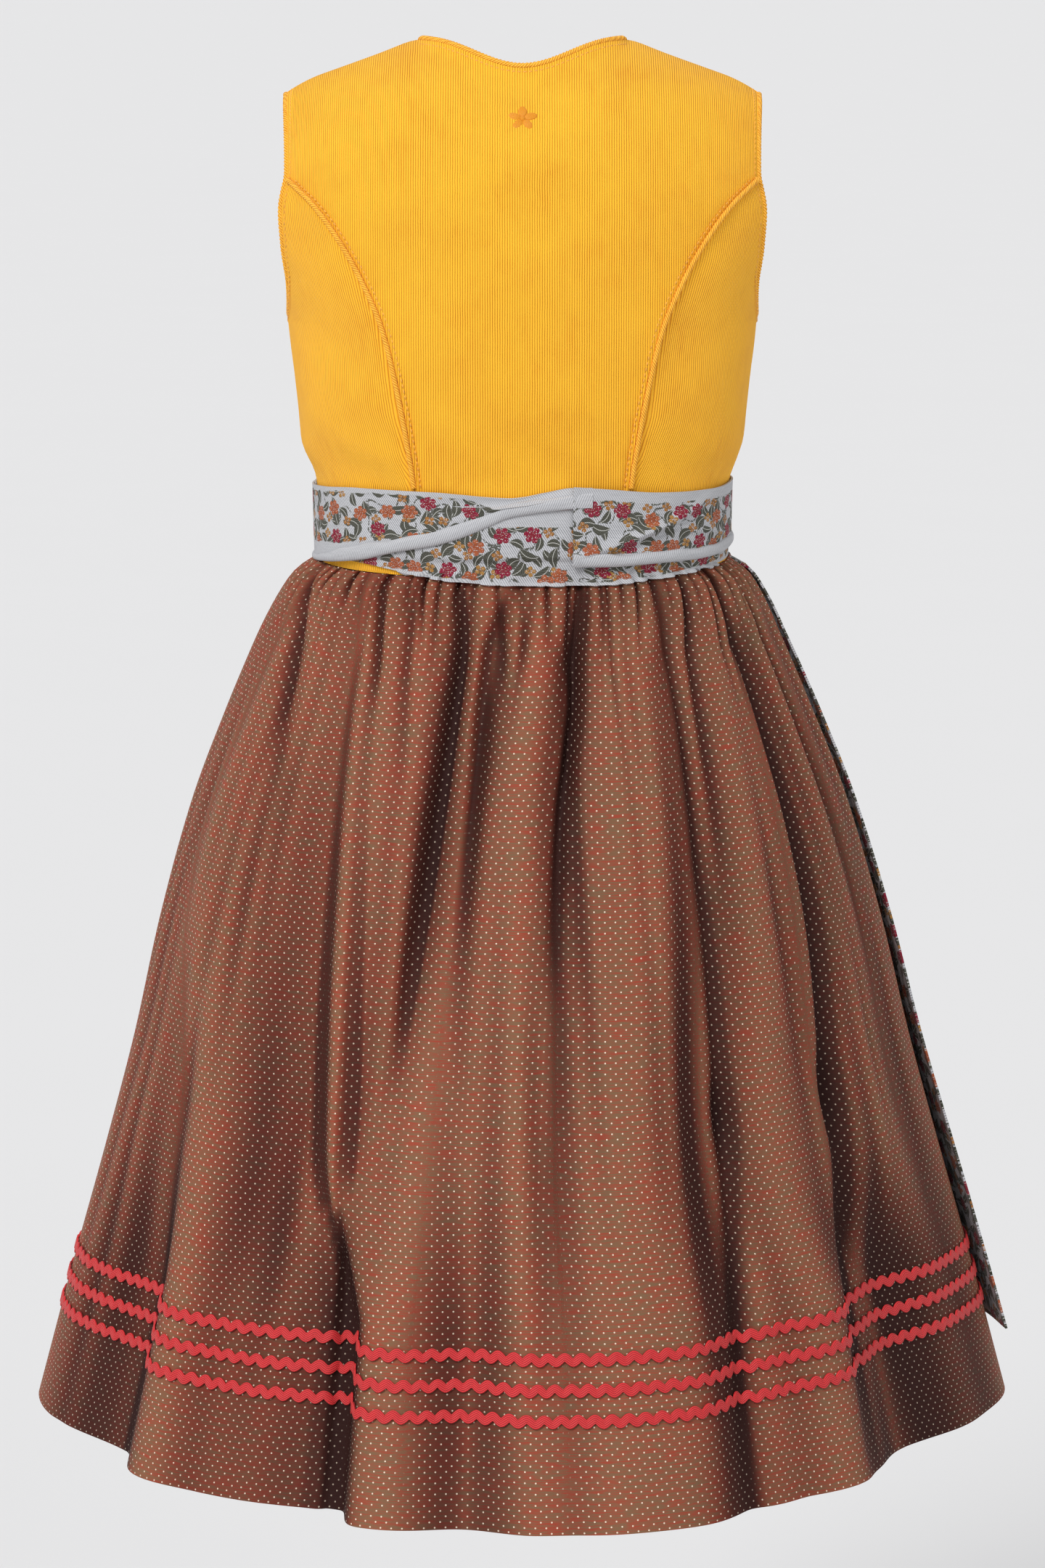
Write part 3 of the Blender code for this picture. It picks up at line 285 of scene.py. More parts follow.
def skirt_at(place, z, out=0.0, gathers=1.0):
    """Points of the skirt at columns' places, or of what lies out from it, with outwards."""
    degrees = column_degrees(place)
    exponent = smooth(SKIRT_POWERS[:, 0], SKIRT_POWERS[:, 1], z)
    point, outward = ring(SKIRT, degrees, z, exponent)
    drop = seam_level(degrees) - z
    inset = fold_depth(degrees, z) + gathers * gather_depth(place, drop) + soft_creases(degrees, z)
    inset = inset + gathers * pinches(degrees, z)
    return point + outward * (out - inset)[..., None], outward


# The narrow dark creases in the folds: heights, angles and depths in mm, then the spread in
# degrees on the two sides. The front half, which the photo hides, has its own of the same kind.
PINCHES = (
    ((-0.283, -0.313, -0.349, -0.395), (19.5, 27.7, 34.2, 39.5), (3, 5, 3.5, 0), 2.2, 3.2),
    ((-0.290, -0.322, -0.355, -0.420), (55.5, 57.5, 58.6, 60.0), (4.5, 5, 2, 0), 0.9, 1.8),
    ((-0.355, -0.467, -0.600, -0.745), (58.6, 62.0, 63.2, 64.2), (0, 3.5, 5, 4), 0.7, 5.0),
    ((-0.285, -0.323, -0.360, -0.400), (66.5, 65.0, 66.5, 68.0), (2.5, 3, 1.5, 0), 1.2, 1.6),
    ((-0.285, -0.310, -0.430, -0.560), (78.5, 77.0, 72.6, 69.0), (2.5, 5.5, 6.5, 0), 1.1, 3.2),
    ((-0.285, -0.323, -0.400, -0.480), (90.0, 82.0, 80.3, 79.0), (2.5, 5, 3, 0), 1.2, 2.4),
    ((-0.285, -0.310, -0.340, -0.365), (92.3, 90.8, 88.8, 87.5), (2.5, 3, 1.2, 0), 0.9, 1.2),
    ((-0.283, -0.330, -0.400, -0.500), (101.5, 101.3, 97.2, 94.5), (4.5, 7.5, 5.5, 0), 1.1, 1.5),
    ((-0.283, -0.300, -0.325, -0.345), (107.0, 107.2, 106.8, 106.0), (3, 3, 1.2, 0), 0.9, 0.9),
    ((-0.283, -0.334, -0.434, -0.560), (121.8, 124.5, 122.7, 122.0), (3.5, 4.5, 5, 5.5), 1.6, 1.8),
    ((-0.560, -0.640, -0.700, -0.745), (122.0, 120.9, 119.5, 119.2), (5.5, 5.5, 4, 2), 1.8, 1.8),
    ((-0.285, -0.340, -0.400, -0.450), (133.0, 130.0, 128.2, 127.0), (3.5, 3, 2, 0), 1.5, 1.5),
    ((-0.283, -0.340, -0.443, -0.560), (145.0, 149.5, 148.6, 144.6), (3.5, 5.5, 6, 6.5), 1.8, 2.6),
    ((-0.560, -0.620, -0.690, -0.740), (144.6, 144.3, 140.5, 139.0), (6.5, 6, 5, 3), 2.0, 2.6),
    ((-0.285, -0.330, -0.380, -0.440), (160.0, 161.5, 162.5, 163.0), (3.5, 4, 2, 0), 1.6, 1.4),
    ((-0.283, -0.330, -0.400, -0.480), (183.0, 184.0, 184.0, 183.5), (3, 5, 3, 0), 1.6, 2.2),
    ((-0.283, -0.345, -0.460, -0.600), (205.0, 204.0, 202.0, 201.0), (3, 5, 5, 2), 1.4, 2.6),
    ((-0.283, -0.320, -0.360, -0.420), (232.0, 231.0, 230.5, 230.0), (3, 4, 2.5, 0), 1.3, 1.6),
    ((-0.283, -0.350, -0.480, -0.640), (252.0, 250.0, 247.0, 245.0), (3, 5, 5.5, 2), 1.6, 2.4),
    ((-0.283, -0.330, -0.400, -0.470), (275.0, 274.0, 273.5, 273.0), (3, 4.5, 3, 0), 1.3, 1.8),
    ((-0.283, -0.350, -0.460, -0.620), (295.0, 293.0, 288.0, 286.0), (3, 5, 5, 2.5), 1.5, 2.5),
    ((-0.283, -0.320, -0.370, -0.430), (315.0, 314.0, 312.5, 312.0), (3, 4, 2.5, 0), 1.4, 1.7),
    ((-0.283, -0.350, -0.470, -0.640), (336.0, 334.0, 330.0, 328.0), (3, 5, 5.5, 3), 1.6, 2.6),
    ((-0.283, -0.330, -0.400, -0.480), (352.0, 353.0, 353.5, 354.0), (3, 4.5, 3, 0), 1.5, 2.0),
)


def pinches(degrees, z):
    total = 0.0
    for heights, angles, depths, before, after in PINCHES:
        away = wrapped(degrees - smooth(heights, angles, z))
        depth = smooth(heights, depths, z) / 1000
        depth = depth * step(heights[-1] - PINCH_FADE, heights[-1], z)
        depth = depth * (1 - step(heights[0], heights[0] + PINCH_FADE, z))
        total = total + depth * bump(away, 0, np.where(away < 0, before, after))
    return total


# ---------------------------------------------------------------- making pieces

def only(thing):
    bpy.ops.object.select_all(action="DESELECT")
    thing.select_set(True)
    bpy.context.view_layer.objects.active = thing


def apply_all(thing):
    only(thing)
    for modifier in list(thing.modifiers):
        bpy.ops.object.modifier_apply(modifier=modifier.name)


def on_whole_mesh(thing, operator, **settings):
    """Runs one mesh operator on everything in a piece."""
    only(thing)
    bpy.ops.object.mode_set(mode="EDIT")
    bpy.ops.mesh.select_all(action="SELECT")
    operator(**settings)
    bpy.ops.object.mode_set(mode="OBJECT")


def weld(thing):
    on_whole_mesh(thing, bpy.ops.mesh.remove_doubles, threshold=WELD_DISTANCE)


def face_outwards(thing):
    on_whole_mesh(thing, bpy.ops.mesh.normals_make_consistent, inside=False)


def finish_piece(thing, name, material, nodes, smooth_angle=50):
    """Names a piece, gives it its finish, and ties it to the frame."""
    thing.name = thing.data.name = name
    only(thing)
    bpy.ops.object.shade_smooth_by_angle(angle=math.radians(smooth_angle))
    if not thing.data.materials:
        thing.data.materials.append(material)
    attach(thing, "root")
    if nodes:
        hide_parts(*nodes)
    return thing


def arc(points, axis):
    """Distance along a grid's rows (axis 1) or columns (axis 0)."""
    steps = np.linalg.norm(np.diff(points, axis=axis), axis=-1)
    zero = np.zeros_like(np.take(steps, [0], axis))
    return np.concatenate([zero, np.cumsum(steps, axis)], axis)


def grid_piece(points, uv, centre, closes_rows=False, layers=None):
    """A grid primitive bent onto rows of points and facing away from centre. Its UV map is in
    metres along the cloth; layers gives more values for each point."""
    rows, columns = points.shape[:2]
    across = np.roll(points, -1, 1)[:-1, :-1] - points[:-1, :-1]
    down = np.roll(points, -1, 0)[:-1, :-1] - points[:-1, :-1]
    facing = (np.cross(across, down) * (points[:-1, :-1] - np.asarray(centre))).sum()
    layers = layers or {}
    if facing < 0:
        points, uv = points[:, ::-1], uv[:, ::-1]
        layers = {name: values[:, ::-1] for name, values in layers.items()}
    bpy.ops.object.select_all(action="DESELECT")
    bpy.ops.mesh.primitive_grid_add(
        x_subdivisions=columns - 1, y_subdivisions=rows - 1, size=1.0, calc_uvs=True)
    thing = bpy.context.object
    mesh = thing.data
    mesh.vertices.foreach_set("co", points.astype(np.float32).ravel())
    corners = np.empty(len(mesh.loops), np.int32)
    mesh.loops.foreach_get("vertex_index", corners)
    mesh.uv_layers[0].data.foreach_set("uv", uv.reshape(-1, 2)[corners].astype(np.float32).ravel())
    mesh.update()
    for name, values in layers.items():
        vertex_values(thing, name, values)
    if closes_rows:
        weld(thing)
    return thing


def wall(thing, thickness, lining=False):
    """Gives an open sheet its cloth's thickness, inwards from its face. With lining, its inside
    takes the second material."""
    solid = thing.modifiers.new("wall", "SOLIDIFY")
    solid.thickness = thickness
    solid.offset = -1.0
    if lining:
        solid.material_offset = 1
    apply_all(thing)
    return thing


def length_along(path):
    """Each point's distance along a path."""
    return arc(path[:, None], 0)[:, 0]


def read_along(at, length, values):
    """Points or directions read off at distances along a path."""
    return np.stack([np.interp(at, length, values[:, k]) for k in range(3)], -1)


def along_line(path, closed=False):
    """The direction of a path at each of its points."""
    if closed:
        return unit(np.roll(path, -1, 0) - np.roll(path, 1, 0))
    return unit(np.gradient(path, axis=0))


def square_to(vectors, along):
    """The direction of the part of each vector that is at right angles to along."""
    return unit(vectors - along * (vectors * along).sum(-1, keepdims=True))


def turned_to(vectors, guide):
    """Each vector, turned round where it points away from its guide."""
    return vectors * np.sign((vectors * guide).sum(-1, keepdims=True))


def sides_of(path, outward, closed=False):
    """For each point of a path: the direction along it, outwards, and across."""
    along = along_line(path, closed)
    outward = square_to(outward, along)
    return along, outward, np.cross(outward, along)


def tube(path, outward, radius, closed, twist):
    """A round tube along a path; twist(distance, share round it) changes its radius."""
    _, outward, across = sides_of(path, outward, closed)
    length = length_along(path)
    if closed:
        path, outward, across = (np.concatenate([a, a[:1]]) for a in (path, outward, across))
        length = np.append(length, length[-1] + np.linalg.norm(path[-1] - path[-2]))
    angle = np.linspace(0, 2 * math.pi, TUBE_SIDES + 1)
    profile = np.stack([radius * np.cos(angle), radius * np.sin(angle)], -1)
    around = np.arange(TUBE_SIDES + 1)[None] / TUBE_SIDES
    scale = twist(length[:, None], around)[..., None]
    points = path[:, None] + scale * (
        profile[None, :, :1] * across[:, None] + profile[None, :, 1:] * outward[:, None])
    size = arc(points[:1], 1)[0]
    return points, np.stack(np.broadcast_arrays(length[:, None], size[None]), -1)


# ---------------------------------------------------------------- materials

class Value:
    """A shader socket that can be added, multiplied and so on."""

    def __init__(self, tree, socket):
        self.tree, self.socket = tree, socket

    def math(self, operation, *others):
        return self.tree.node("ShaderNodeMath", {"operation": operation}, self, *others)

    def __add__(self, other):
        return self.math("ADD", other)

    __radd__ = __add__

    def __mul__(self, other):
        return self.math("MULTIPLY", other)

    __rmul__ = __mul__

    def __sub__(self, other):
        return self.math("SUBTRACT", other)

    def __rsub__(self, other):
        return self.tree.node("ShaderNodeMath", {"operation": "SUBTRACT"}, other, self)

    def __truediv__(self, other):
        return self.math("DIVIDE", other)

    def __lt__(self, other):
        return self.math("LESS_THAN", other)

    def sine(self):
        return self.math("SINE")

    def fraction(self):
        return self.math("FRACT")

    def size(self):
        return self.math("ABSOLUTE")

    def raised(self, exponent):
        return self.math("POWER", exponent)

    def most(self, other):
        return self.math("MAXIMUM", other)

    def ramp(self, low, high, to_low=0.0, to_high=1.0):
        return self.tree.node("ShaderNodeMapRange", {"interpolation_type": "SMOOTHSTEP"},
                              self, low, high, to_low, to_high)


class Cloth:
    """A material's node tree, with one method for any node."""

    def __init__(self, name, roughness, sheen=0.0, sheen_tint=(1, 1, 1), specular=0.35):
        self.material = bpy.data.materials.new(name)
        self.material.use_nodes = True
        self.nodes = self.material.node_tree.nodes
        self.links = self.material.node_tree.links
        self.shader = self.nodes["Principled BSDF"]
        self.shader.inputs["Roughness"].default_value = roughness
        self.shader.inputs["Specular IOR Level"].default_value = specular
        self.shader.inputs["Sheen Weight"].default_value = sheen
        self.shader.inputs["Sheen Roughness"].default_value = 0.45
        self.shader.inputs["Sheen Tint"].default_value = (*sheen_tint, 1.0)

    def node(self, kind, settings, *inputs, output=0, **named):
        """Makes a node, with its settings and what goes into it by place or by name."""
        made = self.nodes.new(kind)
        for key, value in settings.items():
            if key == "stops":
                self.set_stops(made, value)
            else:
                setattr(made, key, value)
        for socket, value in [*enumerate(inputs), *named.items()]:
            self.feed(made.inputs[socket], value)
        return Value(self, made.outputs[output])

    def set_stops(self, made, stops):
        elements = made.color_ramp.elements
        while len(elements) > len(stops):
            elements.remove(elements[-1])
        while len(elements) < len(stops):
            elements.new(1.0)
        for element, (position, colour) in zip(elements, stops):
            element.position, element.color = position, (*colour, 1.0)

    def feed(self, socket, value):
        if isinstance(value, Value):
            self.links.new(value.socket, socket)
        elif value is not None:
            if isinstance(value, tuple) and len(value) == 3 and len(socket.default_value) == 4:
                value = (*value, 1.0)
            socket.default_value = value

    def uv(self):
        """The place on the cloth, as a vector and as its two parts."""
        vector = self.node("ShaderNodeUVMap", {"uv_map": "UVMap"})
        return vector, *self.split(vector)

    def split(self, vector):
        made = self.nodes.new("ShaderNodeSeparateXYZ")
        self.links.new(vector.socket, made.inputs[0])
        return Value(self, made.outputs[0]), Value(self, made.outputs[1])

    def join(self, x, y, z=0.0):
        return self.node("ShaderNodeCombineXYZ", {}, x, y, z)

    def place(self):
        return self.node("ShaderNodeTexCoord", {}, output="Object")

    def noise(self, vector, scale, detail=2.0, rough=0.5):
        return self.node("ShaderNodeTexNoise", {}, Vector=vector, Scale=scale, Detail=detail,
                         Roughness=rough)

    def mix(self, factor, first, second):
        made = self.nodes.new("ShaderNodeMix")
        made.data_type = "RGBA"
        # the colour sockets of a mix node, after those for numbers and vectors
        for index, value in ((0, factor), (6, first), (7, second)):
            self.feed(made.inputs[index], value)
        return Value(self, made.outputs[2])

    def attribute(self, name):
        return self.node("ShaderNodeAttribute", {"attribute_name": name}, output="Fac")

    def bump(self, height, distance, strength):
        return self.node("ShaderNodeBump", {}, Height=height, Distance=distance, Strength=strength)

    def paint(self, colour=None, roughness=None, normal=None):
        for name, value in (("Base Color", colour), ("Roughness", roughness), ("Normal", normal)):
            if value is not None:
                self.feed(self.shader.inputs[name], value)
        return self.material


def make_corduroy():
    """Fine ribs along the cloth, with a soft uneven nap."""
    wale, deep, bright = 0.00131, (0.66, 0.205, 0.005), (1.0, 0.505, 0.032)
    cloth = Cloth("corduroy", 0.88, sheen=0.20, sheen_tint=(1.0, 0.72, 0.35), specular=0.2)
    vector, u, v = cloth.uv()
    waver = (cloth.noise(vector, 90.0, 1.0) - 0.5) * 0.0004
    rib = ((u + waver) * (math.pi / wale)).sine().size()
    nap = cloth.noise(cloth.join(u, v * 0.30), 210.0, 3.0, 0.6)
    patches = cloth.noise(vector, 26.0, 3.0, 0.55)
    fibre = cloth.noise(vector, 2600.0, 2.0)
    # the grooves between the ribs are painted darker, a painted shade; nap, patches and fibres vary
    # the tone at random
    shade = rib.raised(0.5) * 0.80 + nap * 0.42 + patches * 0.70 + fibre * 0.14 - 0.63
    colour = cloth.mix(shade.ramp(-0.10, 0.80), deep, bright)
    height = rib.raised(0.7) + fibre * 0.22
    rough = patches.ramp(0.3, 0.7, 0.80, 0.93)
    return cloth.paint(colour, rough, cloth.bump(height, 0.00042, 1.0))


def make_lining():
    """The bodice's inside, plainly woven."""
    cloth = Cloth("bodice lining", 0.85, specular=0.25)
    vector, u, v = cloth.uv()
    weave = (u * 9000.0).sine() * (v * 9000.0).sine()
    tone = cloth.noise(vector, 40.0, 2.0)
    colour = cloth.mix(tone, (0.62, 0.28, 0.035), (0.76, 0.37, 0.055))
    return cloth.paint(colour, None, cloth.bump(weave, 0.00008, 0.5))


def make_piping_cord():
    """Bias-cut corduroy, whose ribs run slantwise round the cord."""
    cloth = Cloth("piping cord", 0.86, sheen=0.25, sheen_tint=(1.0, 0.75, 0.4), specular=0.2)
    vector, u, v = cloth.uv()
    rib = ((u + v * 0.9) * (math.pi / 0.00155)).sine().size()
    tone = cloth.noise(vector, 160.0, 2.0)
    # the grooves between the slanting ribs are painted darker: painted shade
    shade = rib * 0.7 + tone * 0.5 - 0.2
    colour = cloth.mix(shade.ramp(0.0, 0.8), (0.62, 0.200, 0.006), (1.0, 0.520, 0.060))
    return cloth.paint(colour, None, cloth.bump(rib, 0.00030, 0.7))


def make_thread(name, dark, light, pitch=0.0008):
    """Twisted thread; pitch is the distance between two of its plies."""
    cloth = Cloth(name, 0.55, sheen=0.1, specular=0.45)
    _, u, v = cloth.uv()
    ply = ((u + v * 2.0) * (math.pi / pitch)).sine().size()
    # the grooves between the plies are painted darker: painted shade
    return cloth.paint(cloth.mix(ply, dark, light), None, cloth.bump(ply, 0.00012, 0.5))


def make_dotted_cotton():
    """Shot cotton: red one way and olive the other, with slub streaks and cream pin dots; painted
    shade darkens its folds, and a painted sheen reddens the faces turned one way.
    """
    cloth = Cloth("dotted shot cotton", 0.70, sheen=0.02, sheen_tint=(0.9, 0.55, 0.45),
                  specular=0.14)
    vector, u, v = cloth.uv()
    streak = cloth.noise(cloth.join(u * 0.06, v), 1500.0, 2.0, 0.6)
    slub = cloth.noise(cloth.join(u * 0.12, v), 330.0, 2.0, 0.6)
    cloud = cloth.noise(vector, 14.0, 3.0, 0.6)
    turn, crease, hidden = (cloth.attribute(name) for name in ("turn", "crease", "hidden"))
    thread = streak.ramp(0.40, 0.64) * 0.50 + slub.ramp(0.38, 0.66) * 0.30
    # painted light in the red: turn adds the shot cloth's red on the faces turned one way, a
    # painted sheen, and crease reddens the folds, a painted shade
    red = thread + cloud.ramp(0.35, 0.65) * 0.10 + turn * 0.13 + crease * 0.28 + 0.02
    ground = cloth.mix(red.ramp(0.05, 0.95), (0.190, 0.104, 0.054), (0.320, 0.054, 0.030))
    # painted shade: the ground turns near black deep in the folds
    ground = cloth.mix(crease.raised(1.1), ground, (0.022, 0.004, 0.003))
    # the dots stand in two square grids, half a step apart
    pitch, radius = 0.00560, 0.00043
    dots = None
    for shift in (0.0, 0.5):
        x = ((u / pitch + shift).fraction() - 0.5) * pitch
        y = ((v / pitch + shift).fraction() - 0.5) * pitch
        near = (x * x + y * y).raised(0.5)
        one = near.ramp(radius * 0.70, radius * 1.30, 1.0, 0.0)
        dots = one if dots is None else dots.most(one)
    dots = dots * (1 - hidden)
    colour = cloth.mix(dots * 0.92, ground, (0.78, 0.64, 0.50))
    # more painted shade deep in the folds, over the dots too
    colour = cloth.mix(crease.raised(1.4) * 0.55, colour, (0.022, 0.006, 0.004))
    weave = (u * 11000.0).sine() * (v * 11000.0).sine()
    height = weave * 0.35 + streak * 0.5 + dots * 1.1
    rough = streak.ramp(0.3, 0.7, 0.64, 0.76)
    return cloth.paint(colour, rough, cloth.bump(height, 0.00010, 0.6))


def make_braid():
    """Five plaited strands side by side, following the waves."""
    cloth = Cloth("zigzag braid", 0.55, sheen=0.12, sheen_tint=(1, 0.5, 0.4), specular=0.4)
    vector, u, v = cloth.uv()
    strand = (v * (math.pi / 0.00094)).sine().size()
    twist = ((u + v * 1.4) * (math.pi / 0.0008)).sine().size()
    tone = cloth.noise(vector, 300.0, 2.0)
    # the grooves between the strands and twists are painted darker: painted shade
    shade = strand.raised(0.7) * 0.62 + twist * 0.20 + tone * 0.30
    colour = cloth.mix(shade.ramp(0.2, 0.95), (0.200, 0.004, 0.008), (0.66, 0.026, 0.030))
    return cloth.paint(colour, None, cloth.bump(strand + twist * 0.3, 0.00028, 0.8))


def make_jacquard(name, margins):
    """Pale twill with woven flowers, leaves and stems; margins leaves a band's edges plain."""
    cloth = Cloth(name, 0.72, sheen=0.04, specular=0.16)
    vector, u, v = cloth.uv()
    twill = ((u * 0.83 - v * 0.56) * (math.pi / 0.00108)).sine().size()
    streak = cloth.noise(cloth.join(u * 0.08, v), 1300.0, 2.0, 0.6)
    cloud = cloth.noise(vector, 50.0, 2.0)
    tone = twill.raised(0.45) * 0.80 + streak * 0.40 + cloud * 0.20 - 0.42
    colour = cloth.mix(tone.ramp(0.0, 0.75), (0.115, 0.118, 0.132), (0.53, 0.535, 0.555))
    inside = 1.0
    if margins:
        edge = (v - 0.020).size() + (cloth.noise(vector, 220.0, 1.0) - 0.5) * 0.003
        inside = edge.ramp(0.0136, 0.0144, 1.0, 0.0)
        shade = twill.raised(0.5) * 0.85 + streak * 0.4 - 0.1
        plain = cloth.mix(shade, (0.150, 0.153, 0.168), (0.53, 0.535, 0.555))
        colour = cloth.mix(inside, plain, colour)
    height = twill * 0.5
    soft = 0.0001  # half the width of a motif's edge

    def scattered(cell, seed, loose):
        """Local place in metres, and two random numbers, of the nearest scattered motif."""
        shifted = cloth.join((u + seed * 0.013) / cell, (v + seed * 0.0071) / cell)
        made = cloth.nodes.new("ShaderNodeTexVoronoi")
        made.voronoi_dimensions = "2D"
        cloth.feed(made.inputs["Vector"], shifted)
        made.inputs["Scale"].default_value = 1.0
        made.inputs["Randomness"].default_value = loose
        x, y = cloth.split(shifted)
        middle_x, middle_y = cloth.split(Value(cloth, made.outputs["Position"]))
        chances = cloth.split(Value(cloth, made.outputs["Color"]))
        return (x - middle_x) * cell, (y - middle_y) * cell, *chances

    def flower(cell, seed, loose, size, petals, round_petal, heart):
        """Round petals in a ring with pale gaps between, and seeds woven into them."""
        x, y, turned, chance = scattered(cell, seed, loose)
        y = y * 1.12
        far = (x * x + y * y).raised(0.5)
        angle = y.math("ARCTAN2", x) / (2 * math.pi / petals) + turned * petals
        turn = (angle.fraction() - 0.5) * (2 * math.pi / petals)
        along, across = far * turn.math("COSINE") - size * 0.60, far * turn.sine()
        near = (along * along + across * across).raised(0.5)
        petal = near.ramp(size * round_petal - soft, size * round_petal + soft, 1.0, 0.0)
        middle = far.ramp(size * heart - soft, size * heart + soft, 1.0, 0.0)
        shade = near.ramp(size * round_petal * 0.3, size * round_petal)
        return petal.most(middle) * inside, shade, chance

    def leaves(cell, seed, loose, long, wide):
        """Slim bent leaves, each with a rib and slanting veins."""
        x, y, turned, _ = scattered(cell, seed, loose)
        turn = turned * 6.283
        cosine, sine = turn.math("COSINE"), turn.sine()
        along, across = x * cosine + y * sine, y * cosine - x * sine
        bend = across + along * along * 70.0
        belly = 1 - (along / long).raised(2.0)
        mask = (bend.size() - belly * wide).ramp(-soft, soft, 1.0, 0.0) * inside
        rib = bend.size().ramp(0.00008, 0.00026, 1.0, 0.0)
        veins = ((along + bend.size() * 1.3) * (math.pi / 0.00105)).sine().size()
        return mask, rib, veins

    seeds = cloth.noise(vector, 1500.0, 1.0).ramp(0.60, 0.66)
    wander = cloth.noise(vector, 58.0, 1.0, 0.4)
    stem = (wander - 0.5).size().ramp(0.010, 0.018, 1.0, 0.0) * inside
    gaps = cloth.noise(vector, 800.0, 1.0).ramp(0.40, 0.48)
    colour = cloth.mix(stem * gaps * 0.9, colour, (0.050, 0.050, 0.034))
    # spacing, seed, looseness, length and width
    for kind in ((0.0100, 3.0, 0.85, 0.0046, 0.0021), (0.0118, 8.0, 0.9, 0.0056, 0.0027)):
        mask, rib, veins = leaves(*kind)
        tint = cloth.mix(veins.ramp(0.10, 0.40), (0.30, 0.30, 0.27), (0.034, 0.034, 0.022))
        tint = cloth.mix(rib, tint, (0.48, 0.48, 0.45))
        colour = cloth.mix(mask.ramp(0.0, 0.35), colour, (0.50, 0.51, 0.52))
        colour = cloth.mix(mask, colour, tint)
        height = height.most(mask * (0.6 + veins * 0.4))
    # spacing, seed, looseness, size, petals, their size and the middle's; two colours; how many
    kinds = (
        ((0.0128, 5.0, 0.75, 0.0031, 4, 0.40, 0.14),
         (0.34, 0.178, 0.043), (0.31, 0.140, 0.032), 0.70),
        ((0.0168, 1.0, 0.65, 0.0054, 6, 0.30, 0.34),
         (0.215, 0.007, 0.032), (0.34, 0.090, 0.034), 0.86),
    )
    for kind, first, second, share in kinds:
        mask, shade, chance = flower(*kind)
        tint = cloth.mix(chance.ramp(0.40, 0.42), first, second)
        tint = cloth.mix(shade * 0.35, tint, (0.16, 0.03, 0.02))
        tint = cloth.mix(seeds * 0.75, tint, (0.62, 0.55, 0.50))
        mask = mask * (chance < share)
        colour = cloth.mix(mask, colour, tint)
        height = height.most(mask * (1.0 - shade * 0.4))
    return cloth.paint(colour, None, cloth.bump(height, 0.00026, 0.8))


def make_horn():
    """Streaked brown horn."""
    cloth = Cloth("button horn", 0.34, specular=0.5)
    vector = cloth.place()
    grain = cloth.noise(vector, 260.0, 4.0, 0.6)
    streak = cloth.noise(vector, 70.0, 2.0)
    shade = grain * 0.6 + streak * 0.6 - 0.1
    colour = cloth.node("ShaderNodeValToRGB", {"stops": [
        (0.25, (0.16, 0.065, 0.018)), (0.5, (0.42, 0.20, 0.06)), (0.8, (0.66, 0.40, 0.16))]}, shade)
    return cloth.paint(colour, grain.ramp(0.3, 0.7, 0.28, 0.42), cloth.bump(grain, 0.0002, 0.25))


def make_floor():
    cloth = Cloth("studio floor", 0.9, specular=0.1)
    tone = cloth.noise(cloth.place(), 3.0, 2.0)
    return cloth.paint(cloth.mix(tone, (0.763, 0.763, 0.763), (0.771, 0.771, 0.771)))


CORDUROY = make_corduroy()
LINING = make_lining()
PIPING = make_piping_cord()
THREAD = make_thread("stitching thread", (0.60, 0.19, 0.004), (0.98, 0.52, 0.08))
EMBROIDERY = make_thread("embroidery silk", (0.43, 0.128, 0.001), (0.90, 0.350, 0.004), 0.0006)
COTTON = make_dotted_cotton()
BRAID = make_braid()
BAND_CLOTH = make_jacquard("flowered band", True)
APRON_CLOTH = make_jacquard("flowered apron", False)
HORN = make_horn()


# ---------------------------------------------------------------- skirt and braids

# Half of the width over which a fold takes up hidden cloth, and of the strip without dots; and
# how much has to be hidden for that strip
TAKEN_UP_HALF, DOTLESS_HALF, DOTLESS_FROM = 0.0014, 0.0034, 0.0015


